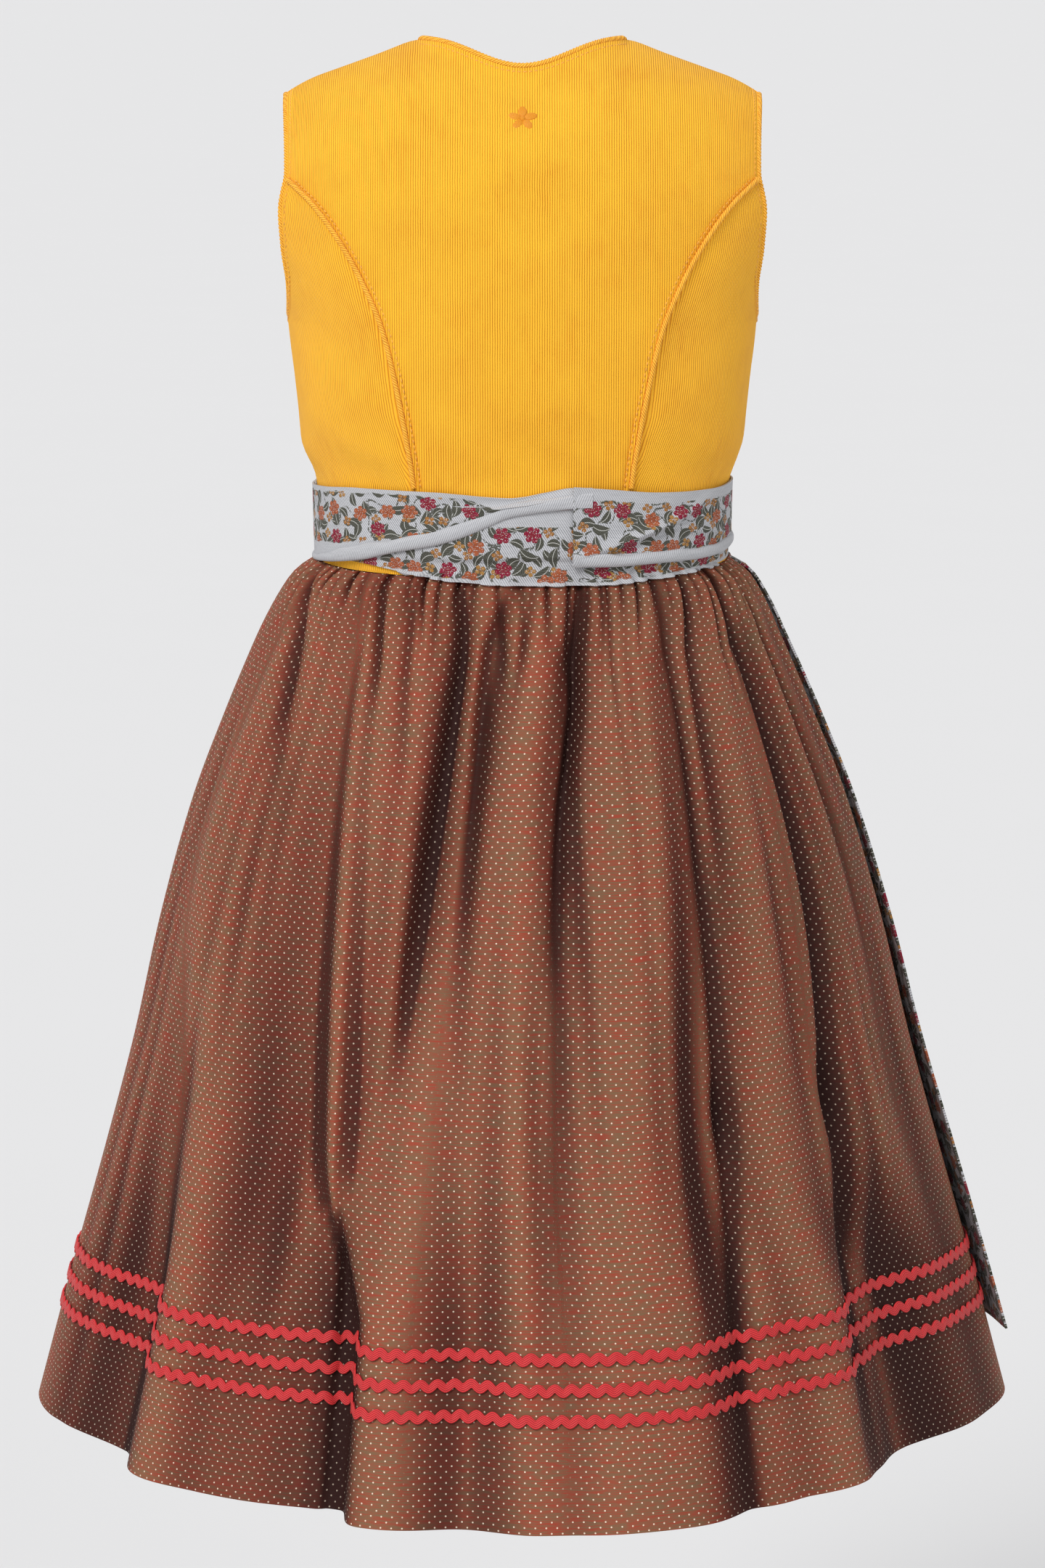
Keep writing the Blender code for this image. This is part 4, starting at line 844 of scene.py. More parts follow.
def cloth_place(points, z_rows):
    """The skirt's UV map: across, the arc along each row with what the folds hide laid in
    their valleys, so that the dots keep their size; down, the mean length of the columns."""
    rows, columns = points.shape[:2]
    across, down = arc(points, 1), arc(points, 0).mean(1)
    places = np.linspace(0, 1, columns)
    degrees = column_degrees(places)
    u, hidden = np.zeros((rows, columns)), np.zeros((rows, columns))
    hem = across[-1]

    def panel_middles(z):
        t = down_skirt(z)
        valleys = np.array([float(valley_degrees(VALLEYS[k], t)) for k in PATTERN_VALLEYS])
        after = np.append(valleys[1:], valleys[0] + 360)
        return valleys, (valleys + after) / 2

    def unroll(valleys, middles, row_arc):
        """Angles and arcs wrapped so that they cover the row from its first column on."""
        total = row_arc[-1]
        wide = np.concatenate([degrees - 360, degrees[1:], degrees[1:] + 360])
        arcs = np.concatenate([row_arc - total, row_arc[1:], row_arc[1:] + total])
        return np.interp(valleys, wide, arcs), np.interp(middles, wide, arcs)

    valleys, middles = panel_middles(HEM_Z)
    _, hem_middles = unroll(valleys, middles, hem)
    for r, z in enumerate(z_rows):
        valleys, middles = panel_middles(z)
        at_valleys, at_middles = unroll(valleys, middles, across[r])
        lost = np.diff(np.append(hem_middles, hem_middles[0] + hem[-1]))
        lost = lost - np.diff(np.append(at_middles, at_middles[0] + across[r][-1]))
        # the valley after middle k is the next one
        where = np.append(at_valleys[1:], at_valleys[0] + across[r][-1])
        row = across[r].copy()
        for cloth, valley in zip(lost, where):
            for lap in (-1, 0, 1):
                centre = valley + lap * across[r][-1]
                taken_up = step(centre - TAKEN_UP_HALF, centre + TAKEN_UP_HALF, across[r])
                row = row + cloth * (taken_up - (lap < 0))
                dotless = bump(across[r], centre, DOTLESS_HALF) * min(1, abs(cloth) / DOTLESS_FROM)
                hidden[r] = np.maximum(hidden[r], dotless)
        u[r] = row + (hem_middles[0] - at_middles[0])
    return np.stack([u, np.broadcast_to(down[:, None], u.shape)], -1), hidden


def level_rows(top, bottom, count):
    """Heights of a grid's rows from each column's top down, closer near the top."""
    share = np.linspace(0, 1, count) ** 1.3
    return top[None] + (bottom - top[None]) * share[:, None]


def vertex_values(thing, name, values):
    layer = thing.data.attributes.new(name, "FLOAT", "POINT")
    layer.data.foreach_set("value", np.asarray(values, np.float32).ravel())


def crease_shade(points):
    """How far, from 0 to 1, each point of the skirt lies behind the cloth on either side: how much
    painted shade the cotton gets there.
    """
    columns = points.shape[1] - 1
    radius = np.hypot(points[..., 0], points[..., 1])
    sunk = np.zeros_like(radius)
    # degrees looked at on either side, and the depth that counts in full
    for degrees, full in ((3.4, 0.0050), (9, 0.022)):
        reach = int(columns * degrees / 360)
        around = np.concatenate([radius[:, -1 - reach:-1], radius, radius[:, 1:1 + reach]], 1)
        windows = np.lib.stride_tricks.sliding_window_view(around, 2 * reach + 1, 1)
        sunk = sunk + np.clip((windows.max(-1) - radius) / full, 0, 1) * 0.6
    return np.clip(sunk, 0, 1)


def build_skirt():
    columns, rows = GATHERS * 12, 62
    place = np.linspace(0, 1, columns + 1)
    z = level_rows(seam_level(column_degrees(place)), HEM_Z, rows)
    points, _ = skirt_at(place[None] + 0 * z, z)
    uv, hidden = cloth_place(points, z.mean(1))
    # the crease layer is painted shade: the cotton turns darker and redder where it lies deep in a
    # fold
    thing = grid_piece(points, uv, centre=SKIRT_CENTRE,
                       layers={"hidden": hidden, "crease": crease_shade(points)})
    add_painted_sheen_layer(thing)
    weld(thing)
    wall(thing, SKIRT_WALL)
    finish_piece(thing, "gathered_skirt", COTTON, ["skirt"])


def add_painted_sheen_layer(thing):
    """A layer for the cotton: which way round the skirt its face looks. With it the cotton paints
    the red that the shot cloth shows from one side on the faces turned that way: a painted sheen."""
    vertices = thing.data.vertices
    place, normals = np.empty((2, len(vertices) * 3), np.float32)
    vertices.foreach_get("co", place)
    vertices.foreach_get("normal", normals)
    place, normals = place.reshape(-1, 3), normals.reshape(-1, 3)
    around = unit(np.stack([-place[:, 1], place[:, 0], 0 * place[:, 0]], -1))
    vertex_values(thing, "turn", np.clip((normals * around).sum(-1) * 1.4, -1, 1))


# The heights between which the cloth's slope is taken for the braids
BRAIDS_LOW_Z, BRAIDS_HIGH_Z = -0.7330, -0.6500


def braid_path(above):
    """A braid's middle line round the skirt, with up-the-cloth and outward directions."""
    place = np.linspace(0, 1, 2401)
    low, high, hem = (skirt_at(place, np.full_like(place, z))[0]
                      for z in (BRAIDS_LOW_Z, BRAIDS_HIGH_Z, HEM_Z))
    first = np.linalg.norm(low - hem, axis=-1)
    up = unit(high - low)
    path, outward = skirt_at(place, low[:, 2] + up[:, 2] * (above - first))
    return path, up, outward


def build_ricrac():
    """Zigzag braids: the outer side of each bend is round and the inner side is sharp."""
    wave_length, swing, half_width = 0.0088, 0.00235, 0.00225
    # across the braid: share of its half width, and how thick it is there
    share, thick = np.array([
        (-1.0, 0.0), (-1.0, 0.60), (-0.80, 0.95), (-0.40, 1.0), (0.0, 1.05), (0.40, 1.0),
        (0.80, 0.95), (1.0, 0.60), (1.0, 0.0), (-1.0, 0.0)]).T
    for number, above in enumerate(RICRAC_ABOVE_HEM, 1):
        path, up, outward = braid_path(above)
        length = length_along(path)
        waves = int(round(length[-1] / wave_length))
        at = np.linspace(0, length[-1], waves * 12 + 1)
        path, up, outward = (read_along(at, length, a) for a in (path, up, outward))
        phase = 2 * math.pi * waves * at / length[-1]
        phase = phase + 0.35 * np.sin(at * 61 + number) + 0.25 * np.sin(at * 23)
        phase[-1] = phase[0] + 2 * math.pi * waves
        half = half_width * (1 + 0.05 * np.sin(at * 97))
        upper = swing * (2 * np.abs(np.cos(phase / 2 - math.pi / 4)) ** 0.9 - 1)
        lower = swing * (1 - 2 * np.abs(np.sin(phase / 2 - math.pi / 4)) ** 0.9)
        mixed = (share[None] + 1) / 2
        wave = 0.62 * (upper[:, None] * mixed + lower[:, None] * (1 - mixed))
        rise = wave + half[:, None] * share[None]
        out = 0.00055 + 0.00105 * thick[None]
        normal = turned_to(unit(np.cross(np.gradient(path, axis=0), up)), outward)
        points = path[:, None] + up[:, None] * rise[..., None] + normal[:, None] * out[..., None]
        points = points.transpose(1, 0, 2)
        points[:, -1] = points[:, 0]
        uv = np.stack(np.broadcast_arrays(at[None], (half[:, None] * (share[None] + 1)).T), -1)
        thing = grid_piece(points, uv, centre=(0, 0, -0.7), closes_rows=True)
        face_outwards(thing)
        finish_piece(thing, f"zigzag_braid_{number}", BRAID,
                     [f"ricrac_{number}"], 70)


# ---------------------------------------------------------------- bodice

# Half of the gap that is left where two panels meet
SEAM_GAP, SHOULDER_GAP, LAP_GAP = 0.00005, 0.00004, 0.0003


def shoulder_z(x):
    """The height of the shoulder seam, a little raised beside the neck cord."""
    rounded = np.maximum(0.0, x - SHOULDER_ROUND_FROM) / (SHOULDER_HALF - SHOULDER_ROUND_FROM)
    lifted = 0.0008 * bump(x, NECK_HALF, 0.014) * (1 - bump(x, NECK_HALF, 0.0035))
    return (NECK_POINT_Z + lifted - SHOULDER_SLOPE * (x - NECK_HALF)
            - SHOULDER_ROUND_DROP * rounded**2)


def top_line(x, back):
    """The neckline or shoulder seam x out from the middle, and how the cloth arrives there."""
    forward = -1.0 if back else 1.0
    gap = -forward * SHOULDER_GAP
    share = np.minimum(1.0, x / NECK_HALF)
    depth, dip = (NECK_BACK_Y, NECK_BACK_DIP) if back else (NECK_FRONT_Y, NECK_FRONT_DIP)
    y = -forward * depth * np.sqrt(1 - share**2)
    if back:
        fall, lean = np.maximum(0, np.cos(share * math.pi / 2)) ** 2.4, 0.75
    else:
        fall, lean = (1 - share**2) ** 0.45, 0.35
    turned = share**3
    shoulder = x >= NECK_HALF
    top = np.stack([x, np.where(shoulder, gap, y + gap * share),
                    np.where(shoulder, shoulder_z(x), NECK_POINT_Z - dip * fall)], -1)
    arrive = np.stack([0 * x, np.where(shoulder, forward, forward * (lean + (1 - lean) * turned)),
                       np.where(shoulder, 0.05, 1 - 0.75 * turned)], -1)
    return top, arrive


def yoke(x, back, rows):
    """Rows over the shoulder, from the yoke level up; x is the columns' distance out there."""
    z = YOKE_BACK_Z if back else YOKE_FRONT_Z
    side = 1 if back else -1
    edge = bodice_at(armhole_degrees(z, back), z)[0]
    start = bodice_at(degrees_at(x, z) * side, z)
    end, arrive = top_line(x * SHOULDER_HALF / edge, back)
    below = bodice_at(degrees_at(x, z - LEAN_STEP) * side, z - LEAN_STEP)
    leave = np.stack([0 * x, (start - below)[:, 1] / LEAN_STEP, 1 + 0 * x], -1)
    reach = ARCH_FULLNESS * np.linalg.norm(end - start, axis=-1, keepdims=True)
    leave, arrive = unit(leave) * reach, unit(arrive) * reach
    t = np.linspace(0, 1, rows + 1)[1:, None, None]
    return (start * (1 + 2 * t) * (1 - t) ** 2 + leave * t * (1 - t) ** 2
            + end * t * t * (3 - 2 * t) + arrive * t * t * (t - 1))


def eased(points, first_row):
    """Softens a panel's yoke across its columns, leaving its edges where they are."""
    points = points.copy()
    row, last = np.arange(len(points)), len(points) - 1
    t = np.clip((row - first_row + 8) / 12, 0, 1) * np.clip((last - row) / 3, 0, 1)
    for _ in range(10):
        middle = (points[:, :-2] + 2 * points[:, 1:-1] + points[:, 2:]) / 4
        points[:, 1:-1] += (middle - points[:, 1:-1]) * t[:, None, None]
    return points


def mirror(points):
    """The same on the wearer's other side."""
    return points * np.array([-1.0, 1.0, 1.0])


def grid_normals(points, centre):
    """A grid's normals, away from centre."""
    normal = unit(np.cross(np.gradient(points, axis=1), np.gradient(points, axis=0)))
    if (normal * (points - np.asarray(centre))).sum() < 0:
        normal = -normal
    return normal


# How far the panels swell and sink, and how far a sewn edge sinks in
PANEL_SWELL, SEAM_SINKS = 0.0007, 0.0006


def soft_cloth(points, seed, seams):
    """Lets a panel sink and swell a little, and rolls its sewn edges in. seams names the first
    or last column, or both."""
    normal = grid_normals(points, BODICE_CENTRE)
    x, y, z = points[..., 0], points[..., 1], points[..., 2]
    around = np.degrees(np.arctan2(y, x))
    waves = (np.sin(around / 13 + seed) * np.sin(z * 95 + seed * 2)
             + 0.6 * np.sin(around / 6.5 + 2 * seed + z * 60) * np.sin(z * 41 + seed)
             + 0.5 * np.sin(z * 210 + around / 5 + seed) * bump(z, -0.225, 0.03))
    across, down = arc(points, 1), arc(points, 0)
    near = np.minimum(np.minimum(across, across[:, -1:] - across), down[-1:] - down)
    move = PANEL_SWELL * waves * (1 - bump(near, 0, 0.009))
    for which in seams:
        away = across if which == "first" else across[:, -1:] - across
        move = move - SEAM_SINKS * bump(away, 0, 0.0022)
        if len(seams) == 2:  # the centre panel's folded edge, and its row of stitches
            below = 1 - step(-0.078, -0.072, z)
            edge, row = bump(away, 0.0016, 0.0013), bump(away, 0.0036, 0.0007)
            move = move + below * (0.0010 * edge - 0.0008 * row)
    return points + normal * move[..., None]


def bodice_uv(points, zero_column):
    """Along the rows from the zero column, and down by the mean length of the columns."""
    across = arc(points, 1)
    down = np.broadcast_to(arc(points, 0).mean(1)[:, None], across.shape)
    return np.stack([across - across[:, zero_column][:, None], down], -1)


def side_grain(points):
    """The distance from the side seam's line, which the ribs of a side panel run along."""
    z = points[..., 2]
    share = points[..., 1] / smooth(BODICE[:, 0], BODICE[:, 2], z)
    degrees = np.degrees(np.arcsin(np.clip(share, 0, 1) ** (1 / BODY_POWER)))
    steps = np.linspace(0, 1, 40)[:, None, None]
    path, _ = ring(BODICE, degrees * steps, np.broadcast_to(z, (40, *degrees.shape)), BODY_POWER)
    return np.linalg.norm(np.diff(path, axis=0), axis=-1).sum(0)


# Columns of the centre panel from its middle to the neck point and to its edge, and its rows
# up to the yoke; columns of a front from the lap to the neck point
BACK_NECK_COLUMNS, BACK_MIDDLE, BACK_ROWS, FRONT_NECK_COLUMNS = 18, 37, 46, 25


def neck_spaced(neck, columns, rest):
    """Shares from 0 to 1 in two runs, the first up to the neck point and closer towards it."""
    return np.concatenate([neck * np.sin(np.linspace(0, math.pi / 2, columns + 1)),
                           np.linspace(neck, 1, rest)[1:]])


def closer_rows(count, top):
    """Shares of the way from the waist up to top, closer above the armhole's foot."""
    foot = ARMHOLE_Z - ARMHOLE_HALF_HEIGHT
    extra = (foot + np.array([0.0, 0.0002, 0.0006, 0.0013, 0.0024]) - WAIST_Z) / (top - WAIST_Z)
    return np.sort(np.concatenate([np.linspace(0, 1, count), extra]))


def back_panel():
    """The back's centre panel, between the princess seams."""
    share = neck_spaced(NECK_HALF / SHOULDER_HALF, BACK_NECK_COLUMNS, 20)
    shares = np.concatenate([-share[:0:-1], share])
    rows = []
    for t in np.linspace(0, 1, BACK_ROWS):
        z = seam_level(90 - 35 * np.abs(shares)) * (1 - t) + YOKE_BACK_Z * t
        gap = np.where(t < 1, SEAM_GAP, 0.0)
        x = np.abs(shares) * (smooth(PRINCESS[:, 0], PRINCESS[:, 1], z) - gap)
        row = bodice_at(degrees_at(x, z), z)
        row[:, 0] *= np.sign(shares) + (shares == 0)
        rows.append(row)
    upper = yoke(share * rows[-1][-1, 0], True, 26)
    upper = np.concatenate([mirror(upper)[:, :0:-1], upper], 1)
    return eased(np.concatenate([np.array(rows), upper]), BACK_ROWS)


def side_panel():
    """The back's left side panel, from the princess seam to the side seam."""
    rows = []
    top = -0.0752  # just below where the princess seam meets the armhole
    for t in closer_rows(50, top):
        z = WAIST_Z * (1 - t) + top * t
        inner = degrees_at(smooth(PRINCESS[:, 0], PRINCESS[:, 1], z) + SEAM_GAP, z)
        outer = armhole_degrees(z, True)
        degrees = inner + (outer - inner) * np.linspace(0, 1, 25)
        rows.append(bodice_at(degrees, z + (seam_level(degrees) - WAIST_Z) * (1 - t)))
    return np.array(rows)


def front_panel(sign):
    """A front as it lies on the wearer's left, by angle from the lap's edge to the side seam.
    The right one laps over, so its edge is past the middle."""
    lap = LAP_X + LAP_GAP if sign > 0 else -(LAP_X - LAP_GAP)
    yoke_outer = -float(armhole_degrees(YOKE_FRONT_Z, False))
    yoke_edge = bodice_at(yoke_outer, YOKE_FRONT_Z)[0]

    def lap_degrees(z):
        away = float(degrees_at(lap, z))
        return -away if lap >= 0 else -180 + away

    neck_degrees = -float(degrees_at(NECK_HALF / SHOULDER_HALF * yoke_edge, YOKE_FRONT_Z))
    start = lap_degrees(YOKE_FRONT_Z)
    shares = neck_spaced((neck_degrees - start) / (yoke_outer - start), FRONT_NECK_COLUMNS, 26)
    rows = []
    for t in closer_rows(44, YOKE_FRONT_Z):
        z = WAIST_Z * (1 - t) + YOKE_FRONT_Z * t
        outer = -float(armhole_degrees(z, False))
        first = lap_degrees(z)
        rows.append(bodice_at(first + (outer - first) * shares, np.full_like(shares, z)))
    x = rows[-1][:, 0]
    upper = yoke(np.abs(x), False, 34)
    upper[..., 0] *= np.where(x < 0, -1.0, 1.0)
    return eased(np.concatenate([np.array(rows), upper]), len(rows))


def build_bodice():
    """Makes the five panels and returns their grids, for the piping."""
    side = side_panel()
    # points, solid, sewn columns, the column that the ribs' distance starts from, and the cut
    # cloth: width, length and area
    panels = {
        "bodice_back": (back_panel(), "bodice_back_centre", ("first", "last"), BACK_MIDDLE,
                        (0.284, 0.290), 0.0569),
        "bodice_side_left": (side, "bodice_back_side_left", ("first",), 24,
                             (0.105, 0.208), 0.0173),
        "bodice_side_right": (mirror(side), "bodice_back_side_right", ("first",), 24,
                              (0.105, 0.208), 0.0173),
        "bodice_front_left": (front_panel(1), "bodice_front_left", (), 0,
                              (0.166, 0.280), 0.0400),
        "bodice_front_right": (mirror(front_panel(-1)), "bodice_front_right", (), 0,
                               (0.186, 0.280), 0.0442),
    }
    edges = {}
    for number, (name, panel) in enumerate(panels.items()):
        points, node, seams, zero, flat, area = panel
        soft = soft_cloth(points, number * 1.7 + 0.4, seams)
        edges[name] = soft
        uv = bodice_uv(soft, zero)
        if name.startswith("bodice_side"):
            uv[..., 0] = side_grain(soft)
        elif name == "bodice_back":  # the ribs run straight up into the yoke
            base, at_base = soft[BACK_ROWS - 1, BACK_MIDDLE:, 0], uv[BACK_ROWS - 1, BACK_MIDDLE:, 0]
            uv[..., 0] = np.interp(np.abs(soft[..., 0]), base, at_base) * np.sign(soft[..., 0])
        thing = grid_piece(soft, uv, centre=BODICE_CENTRE)
        thing.data.materials.append(CORDUROY)
        thing.data.materials.append(LINING)
        wall(thing, CORD_WALL, lining=True)
        piece = finish_piece(thing, name + "_cloth", CORDUROY, [node])
    return edges


CORD_SINKS = 0.0002  # how far a cord presses into a panel's edge


def edge_beside(edge, inside, radius, closed):
    """The middle line of a cord just past a panel's edge, and outwards from it."""
    along = along_line(edge, closed)
    away = square_to(edge - inside, along)
    outward = turned_to(np.cross(along, away), edge - np.asarray(BODICE_CENTRE))
    return edge + away * (radius - CORD_SINKS) - outward * (CORD_WALL / 2), outward


def rope(path, outward, radius, name, node, closed):
    """A piping cord whose bias cover shows slanting ribs."""
    spacing, rib_spacing, rib_size = 0.00045, 0.0021, 0.13
    if closed:
        path, outward = (np.concatenate([a, a[:1]]) for a in (path, outward))
    length = length_along(path)
    at = np.linspace(0, length[-1], int(round(length[-1] / spacing)) + 1)
    path, outward = read_along(at, length, path), unit(read_along(at, length, outward))
    turns = round(length[-1] / rib_spacing)
    if closed:
        path, outward = path[:-1], outward[:-1]

    def twist(distance, around):
        share = turns * distance / length[-1] + around * 2
        return 1 + rib_size * np.cos(2 * math.pi * share)

    points, uv = tube(path, outward, radius, closed, twist)
    if closed:
        points[-1] = points[0]
        path = np.concatenate([path, path[:1]])
    across, down = np.gradient(points, axis=1), np.gradient(points, axis=0)
    if (np.cross(across, down) * (points - path[:, None])).sum() <= 0:
        points, uv = points[:, ::-1], uv[:, ::-1]
    thing = grid_piece(points, uv, centre=(0, 0, 0), closes_rows=True)
    if not closed:
        on_whole_mesh(thing, close_ends)
    face_outwards(thing)
    finish_piece(thing, name, PIPING, [node], 80)


def close_ends():
    bpy.ops.mesh.region_to_loop()
    bpy.ops.mesh.fill()


# How far topstitching stands in from an edge, and the princess seam's from its cord's middle
STITCHES_IN, PRINCESS_STITCHES_IN = 0.0026, 0.0034


def build_piping(edges):
    back, front_left, front_right = (
        edges[k] for k in ("bodice_back", "bodice_front_left", "bodice_front_right"))
    build_neck_piping(back, front_left, front_right)
    for word, sign in SIDES:
        turn = np.array([sign, 1.0, 1.0])
        side, front = edges[f"bodice_side_{word}"] * turn, edges[f"bodice_front_{word}"] * turn
        panel = back if sign > 0 else back[:, ::-1] * turn
        build_armhole_piping(word, turn, side, panel, front)
        build_princess_piping(word, turn)


def build_neck_piping(back, front_left, front_right):
    """From the lap's edge round the neck to the other edge, its two ends apart."""
    neck = slice(BACK_MIDDLE - BACK_NECK_COLUMNS, BACK_MIDDLE + BACK_NECK_COLUMNS + 1)
    out, back_again = slice(0, FRONT_NECK_COLUMNS + 1), slice(FRONT_NECK_COLUMNS, None, -1)
    right_edge, right_in = front_right[-1][out], front_right[-2][out]
    back_edge, back_in = back[-1][neck], back[-2][neck]
    left_edge, left_in = front_left[-1][back_again], front_left[-2][back_again]
    if back_edge[0, 0] > 0:
        back_edge, back_in = back_edge[::-1], back_in[::-1]
    edge = np.concatenate([right_edge[:-1], back_edge, left_edge[1:]])
    inside = np.concatenate([right_in[:-1], back_in, left_in[1:]])
    path, outward = edge_beside(edge, inside, PIPING_R, closed=False)
    ends_at = (LAP_X - LAP_GAP, LAP_X + 0.0011)
    path[0] += (path[1] - path[0]) * (ends_at[0] - path[0, 0]) / (path[1] - path[0])[0]
    path[-1] += (path[-2] - path[-1]) * (ends_at[1] - path[-1, 0]) / (path[-2] - path[-1])[0]
    for turn in range(6):  # twice everywhere, then only at the neck points
        corner = 1.0 if turn < 2 else bump(np.abs(path[1:-1, :1]), NECK_HALF, 0.004)
        middle = (path[:-2] + 2 * path[1:-1] + path[2:]) / 4
        path[1:-1] += (middle - path[1:-1]) * corner
    rope(path, outward, PIPING_R, "piping_cord_neck", "piping_neck", closed=False)
    stitch_row(edge, inside, "neck_stitches")


def build_armhole_piping(word, turn, side, panel, front):
    """Round one armhole: up the side panel and the back's yoke, and down the front. turn takes
    the wearer's left, where the cord is worked out, to its own side."""
    foot = ARMHOLE_Z - ARMHOLE_HALF_HEIGHT
    keep_side, keep_front = side[:, -1, 2] > foot, front[:, -1, 2] > foot
    keep_back = np.arange(len(panel)) >= BACK_ROWS - 1
    edge, inside = (np.concatenate([side[keep_side, k], panel[keep_back, k],
                                    front[keep_front, k][::-1]]) for k in (-1, -2))
    edge, inside = even_out(edge, inside)
    # at its foot the panels' edges turn, so inside is taken away from the middle there
    away = (edge - edge.mean(0)) * np.array([0.0, 1.0, 1.0])
    low = (1 - step(foot, foot + 0.030, edge[:, 2]))[:, None]
    inside = inside * (1 - low) + (edge + unit(away) * 0.004) * low
    path, outward = edge_beside(edge, inside, PIPING_R, closed=True)
    rope(path * turn, outward * turn, PIPING_R, f"piping_cord_armhole_{word}",
         f"piping_armhole_{word}", closed=True)
    stitch_row(edge * turn, inside * turn, f"armhole_stitches_{word}")


def build_princess_piping(word, turn):
    """Up one princess seam, from under the bands to the armhole."""
    z = np.linspace(-0.2372, -0.0750, 160)
    x = smooth(PRINCESS[:, 0], PRINCESS[:, 1], z)
    degrees = degrees_at(x, z)
    path = bodice_at(degrees, z, PRINCESS_R - 0.0005)
    outward = unit(path - bodice_at(degrees, z, -0.01))
    rope(path * turn, outward * turn, PRINCESS_R, f"piping_cord_princess_{word}",
         f"piping_princess_{word}", closed=False)
    beside = bodice_at(degrees_at(x - PRINCESS_STITCHES_IN, z), z, 0.0002)
    stitches(beside * turn, outward * turn, f"princess_stitches_{word}")


def even_out(edge, inside):
    """A closed edge's points spread evenly, its corners eased."""
    ring_edge = np.concatenate([edge, edge[:1]])
    ring_in = np.concatenate([inside, inside[:1]])
    length = length_along(ring_edge)
    at = np.linspace(0, length[-1], 241)[:-1]
    edge, inside = read_along(at, length, ring_edge), read_along(at, length, ring_in)
    for _ in range(3):
        edge = (np.roll(edge, 1, 0) + 2 * edge + np.roll(edge, -1, 0)) / 4
        inside = (np.roll(inside, 1, 0) + 2 * inside + np.roll(inside, -1, 0)) / 4
    return edge, inside


def stitch_row(edge, inside, name):
    """Topstitching set in from a panel's edge."""
    along = along_line(edge)
    into = square_to(inside - edge, along)
    outward = turned_to(np.cross(along, into), edge - np.asarray(BODICE_CENTRE))
    stitches(edge + into * STITCHES_IN + outward * 0.0001, outward, name)


def stitches(path, outward, name, pitch=0.0030, long=0.0022, thick=0.00042):
    """A row of thread stitches, each a small closed lozenge bar, as one piece."""
    length = length_along(path)
    count = max(1, int(length[-1] / pitch))
    at = (np.arange(count) + 0.5) * length[-1] / count
    middles = read_along(at, length, path)
    along, outward, across = (unit(read_along(at, length, a)) for a in sides_of(path, outward))
    # corners of one stitch as shares along, across and out, and its faces
    shape = np.array([(-0.5, 0, -0.6), (-0.3, 0.9, 0), (-0.3, 0, 0.9), (-0.3, -0.9, 0),
                      (0.3, 0.9, 0), (0.3, 0, 0.9), (0.3, -0.9, 0), (0.5, 0, -0.6)])
    faces = np.array([(0, 2, 1), (0, 3, 2), (1, 2, 5), (1, 5, 4), (2, 3, 6), (2, 6, 5),
                      (7, 4, 5), (7, 5, 6), (0, 1, 4), (0, 4, 7), (0, 7, 6), (0, 6, 3)])
    points = (middles[:, None] + shape[None, :, :1] * long * along[:, None]
              + shape[None, :, 1:2] * thick * across[:, None]
              + shape[None, :, 2:] * thick * outward[:, None])
    everything = (faces[None] + 8 * np.arange(count)[:, None, None]).reshape(-1, 3)
    mesh = bpy.data.meshes.new(name)
    mesh.from_pydata(points.reshape(-1, 3).tolist(), [], everything.tolist())
    layer = mesh.uv_layers.new(name="UVMap")
    corner = np.array([loop.vertex_index for loop in mesh.loops]) % 8
    uv = np.stack([shape[corner, 0] * long, shape[corner, 1] * thick], -1)
    layer.data.foreach_set("uv", uv.astype(np.float32).ravel())
    thing = bpy.data.objects.new(name, mesh)
    bpy.context.scene.collection.objects.link(thing)
    face_outwards(thing)
    finish_piece(thing, name, THREAD, [], 80)


# ---------------------------------------------------------------- apron and its bands

# Where the apron's cloth begins under its waistband, and the angles of its side edges
APRON_TOP_Z, APRON_SIDES = -0.2806, (178.5, 333.0)


def down_apron(z):
    """The share of the way from the waist to the apron's hem."""
    return (WAIST_Z - z) / (WAIST_Z - APRON_HEM_Z)


def apron_over(z):
    """How far the apron lies out from the skirt."""
    return 0.0021 + 0.0015 * np.minimum(1.0, 1.2 * np.clip(down_apron(z), 0, None))


def place_at(degrees):
    """The skirt's column at an angle."""
    fine = np.linspace(-0.2, 1.2, 4001)
    return np.interp(degrees, column_degrees(fine), fine)


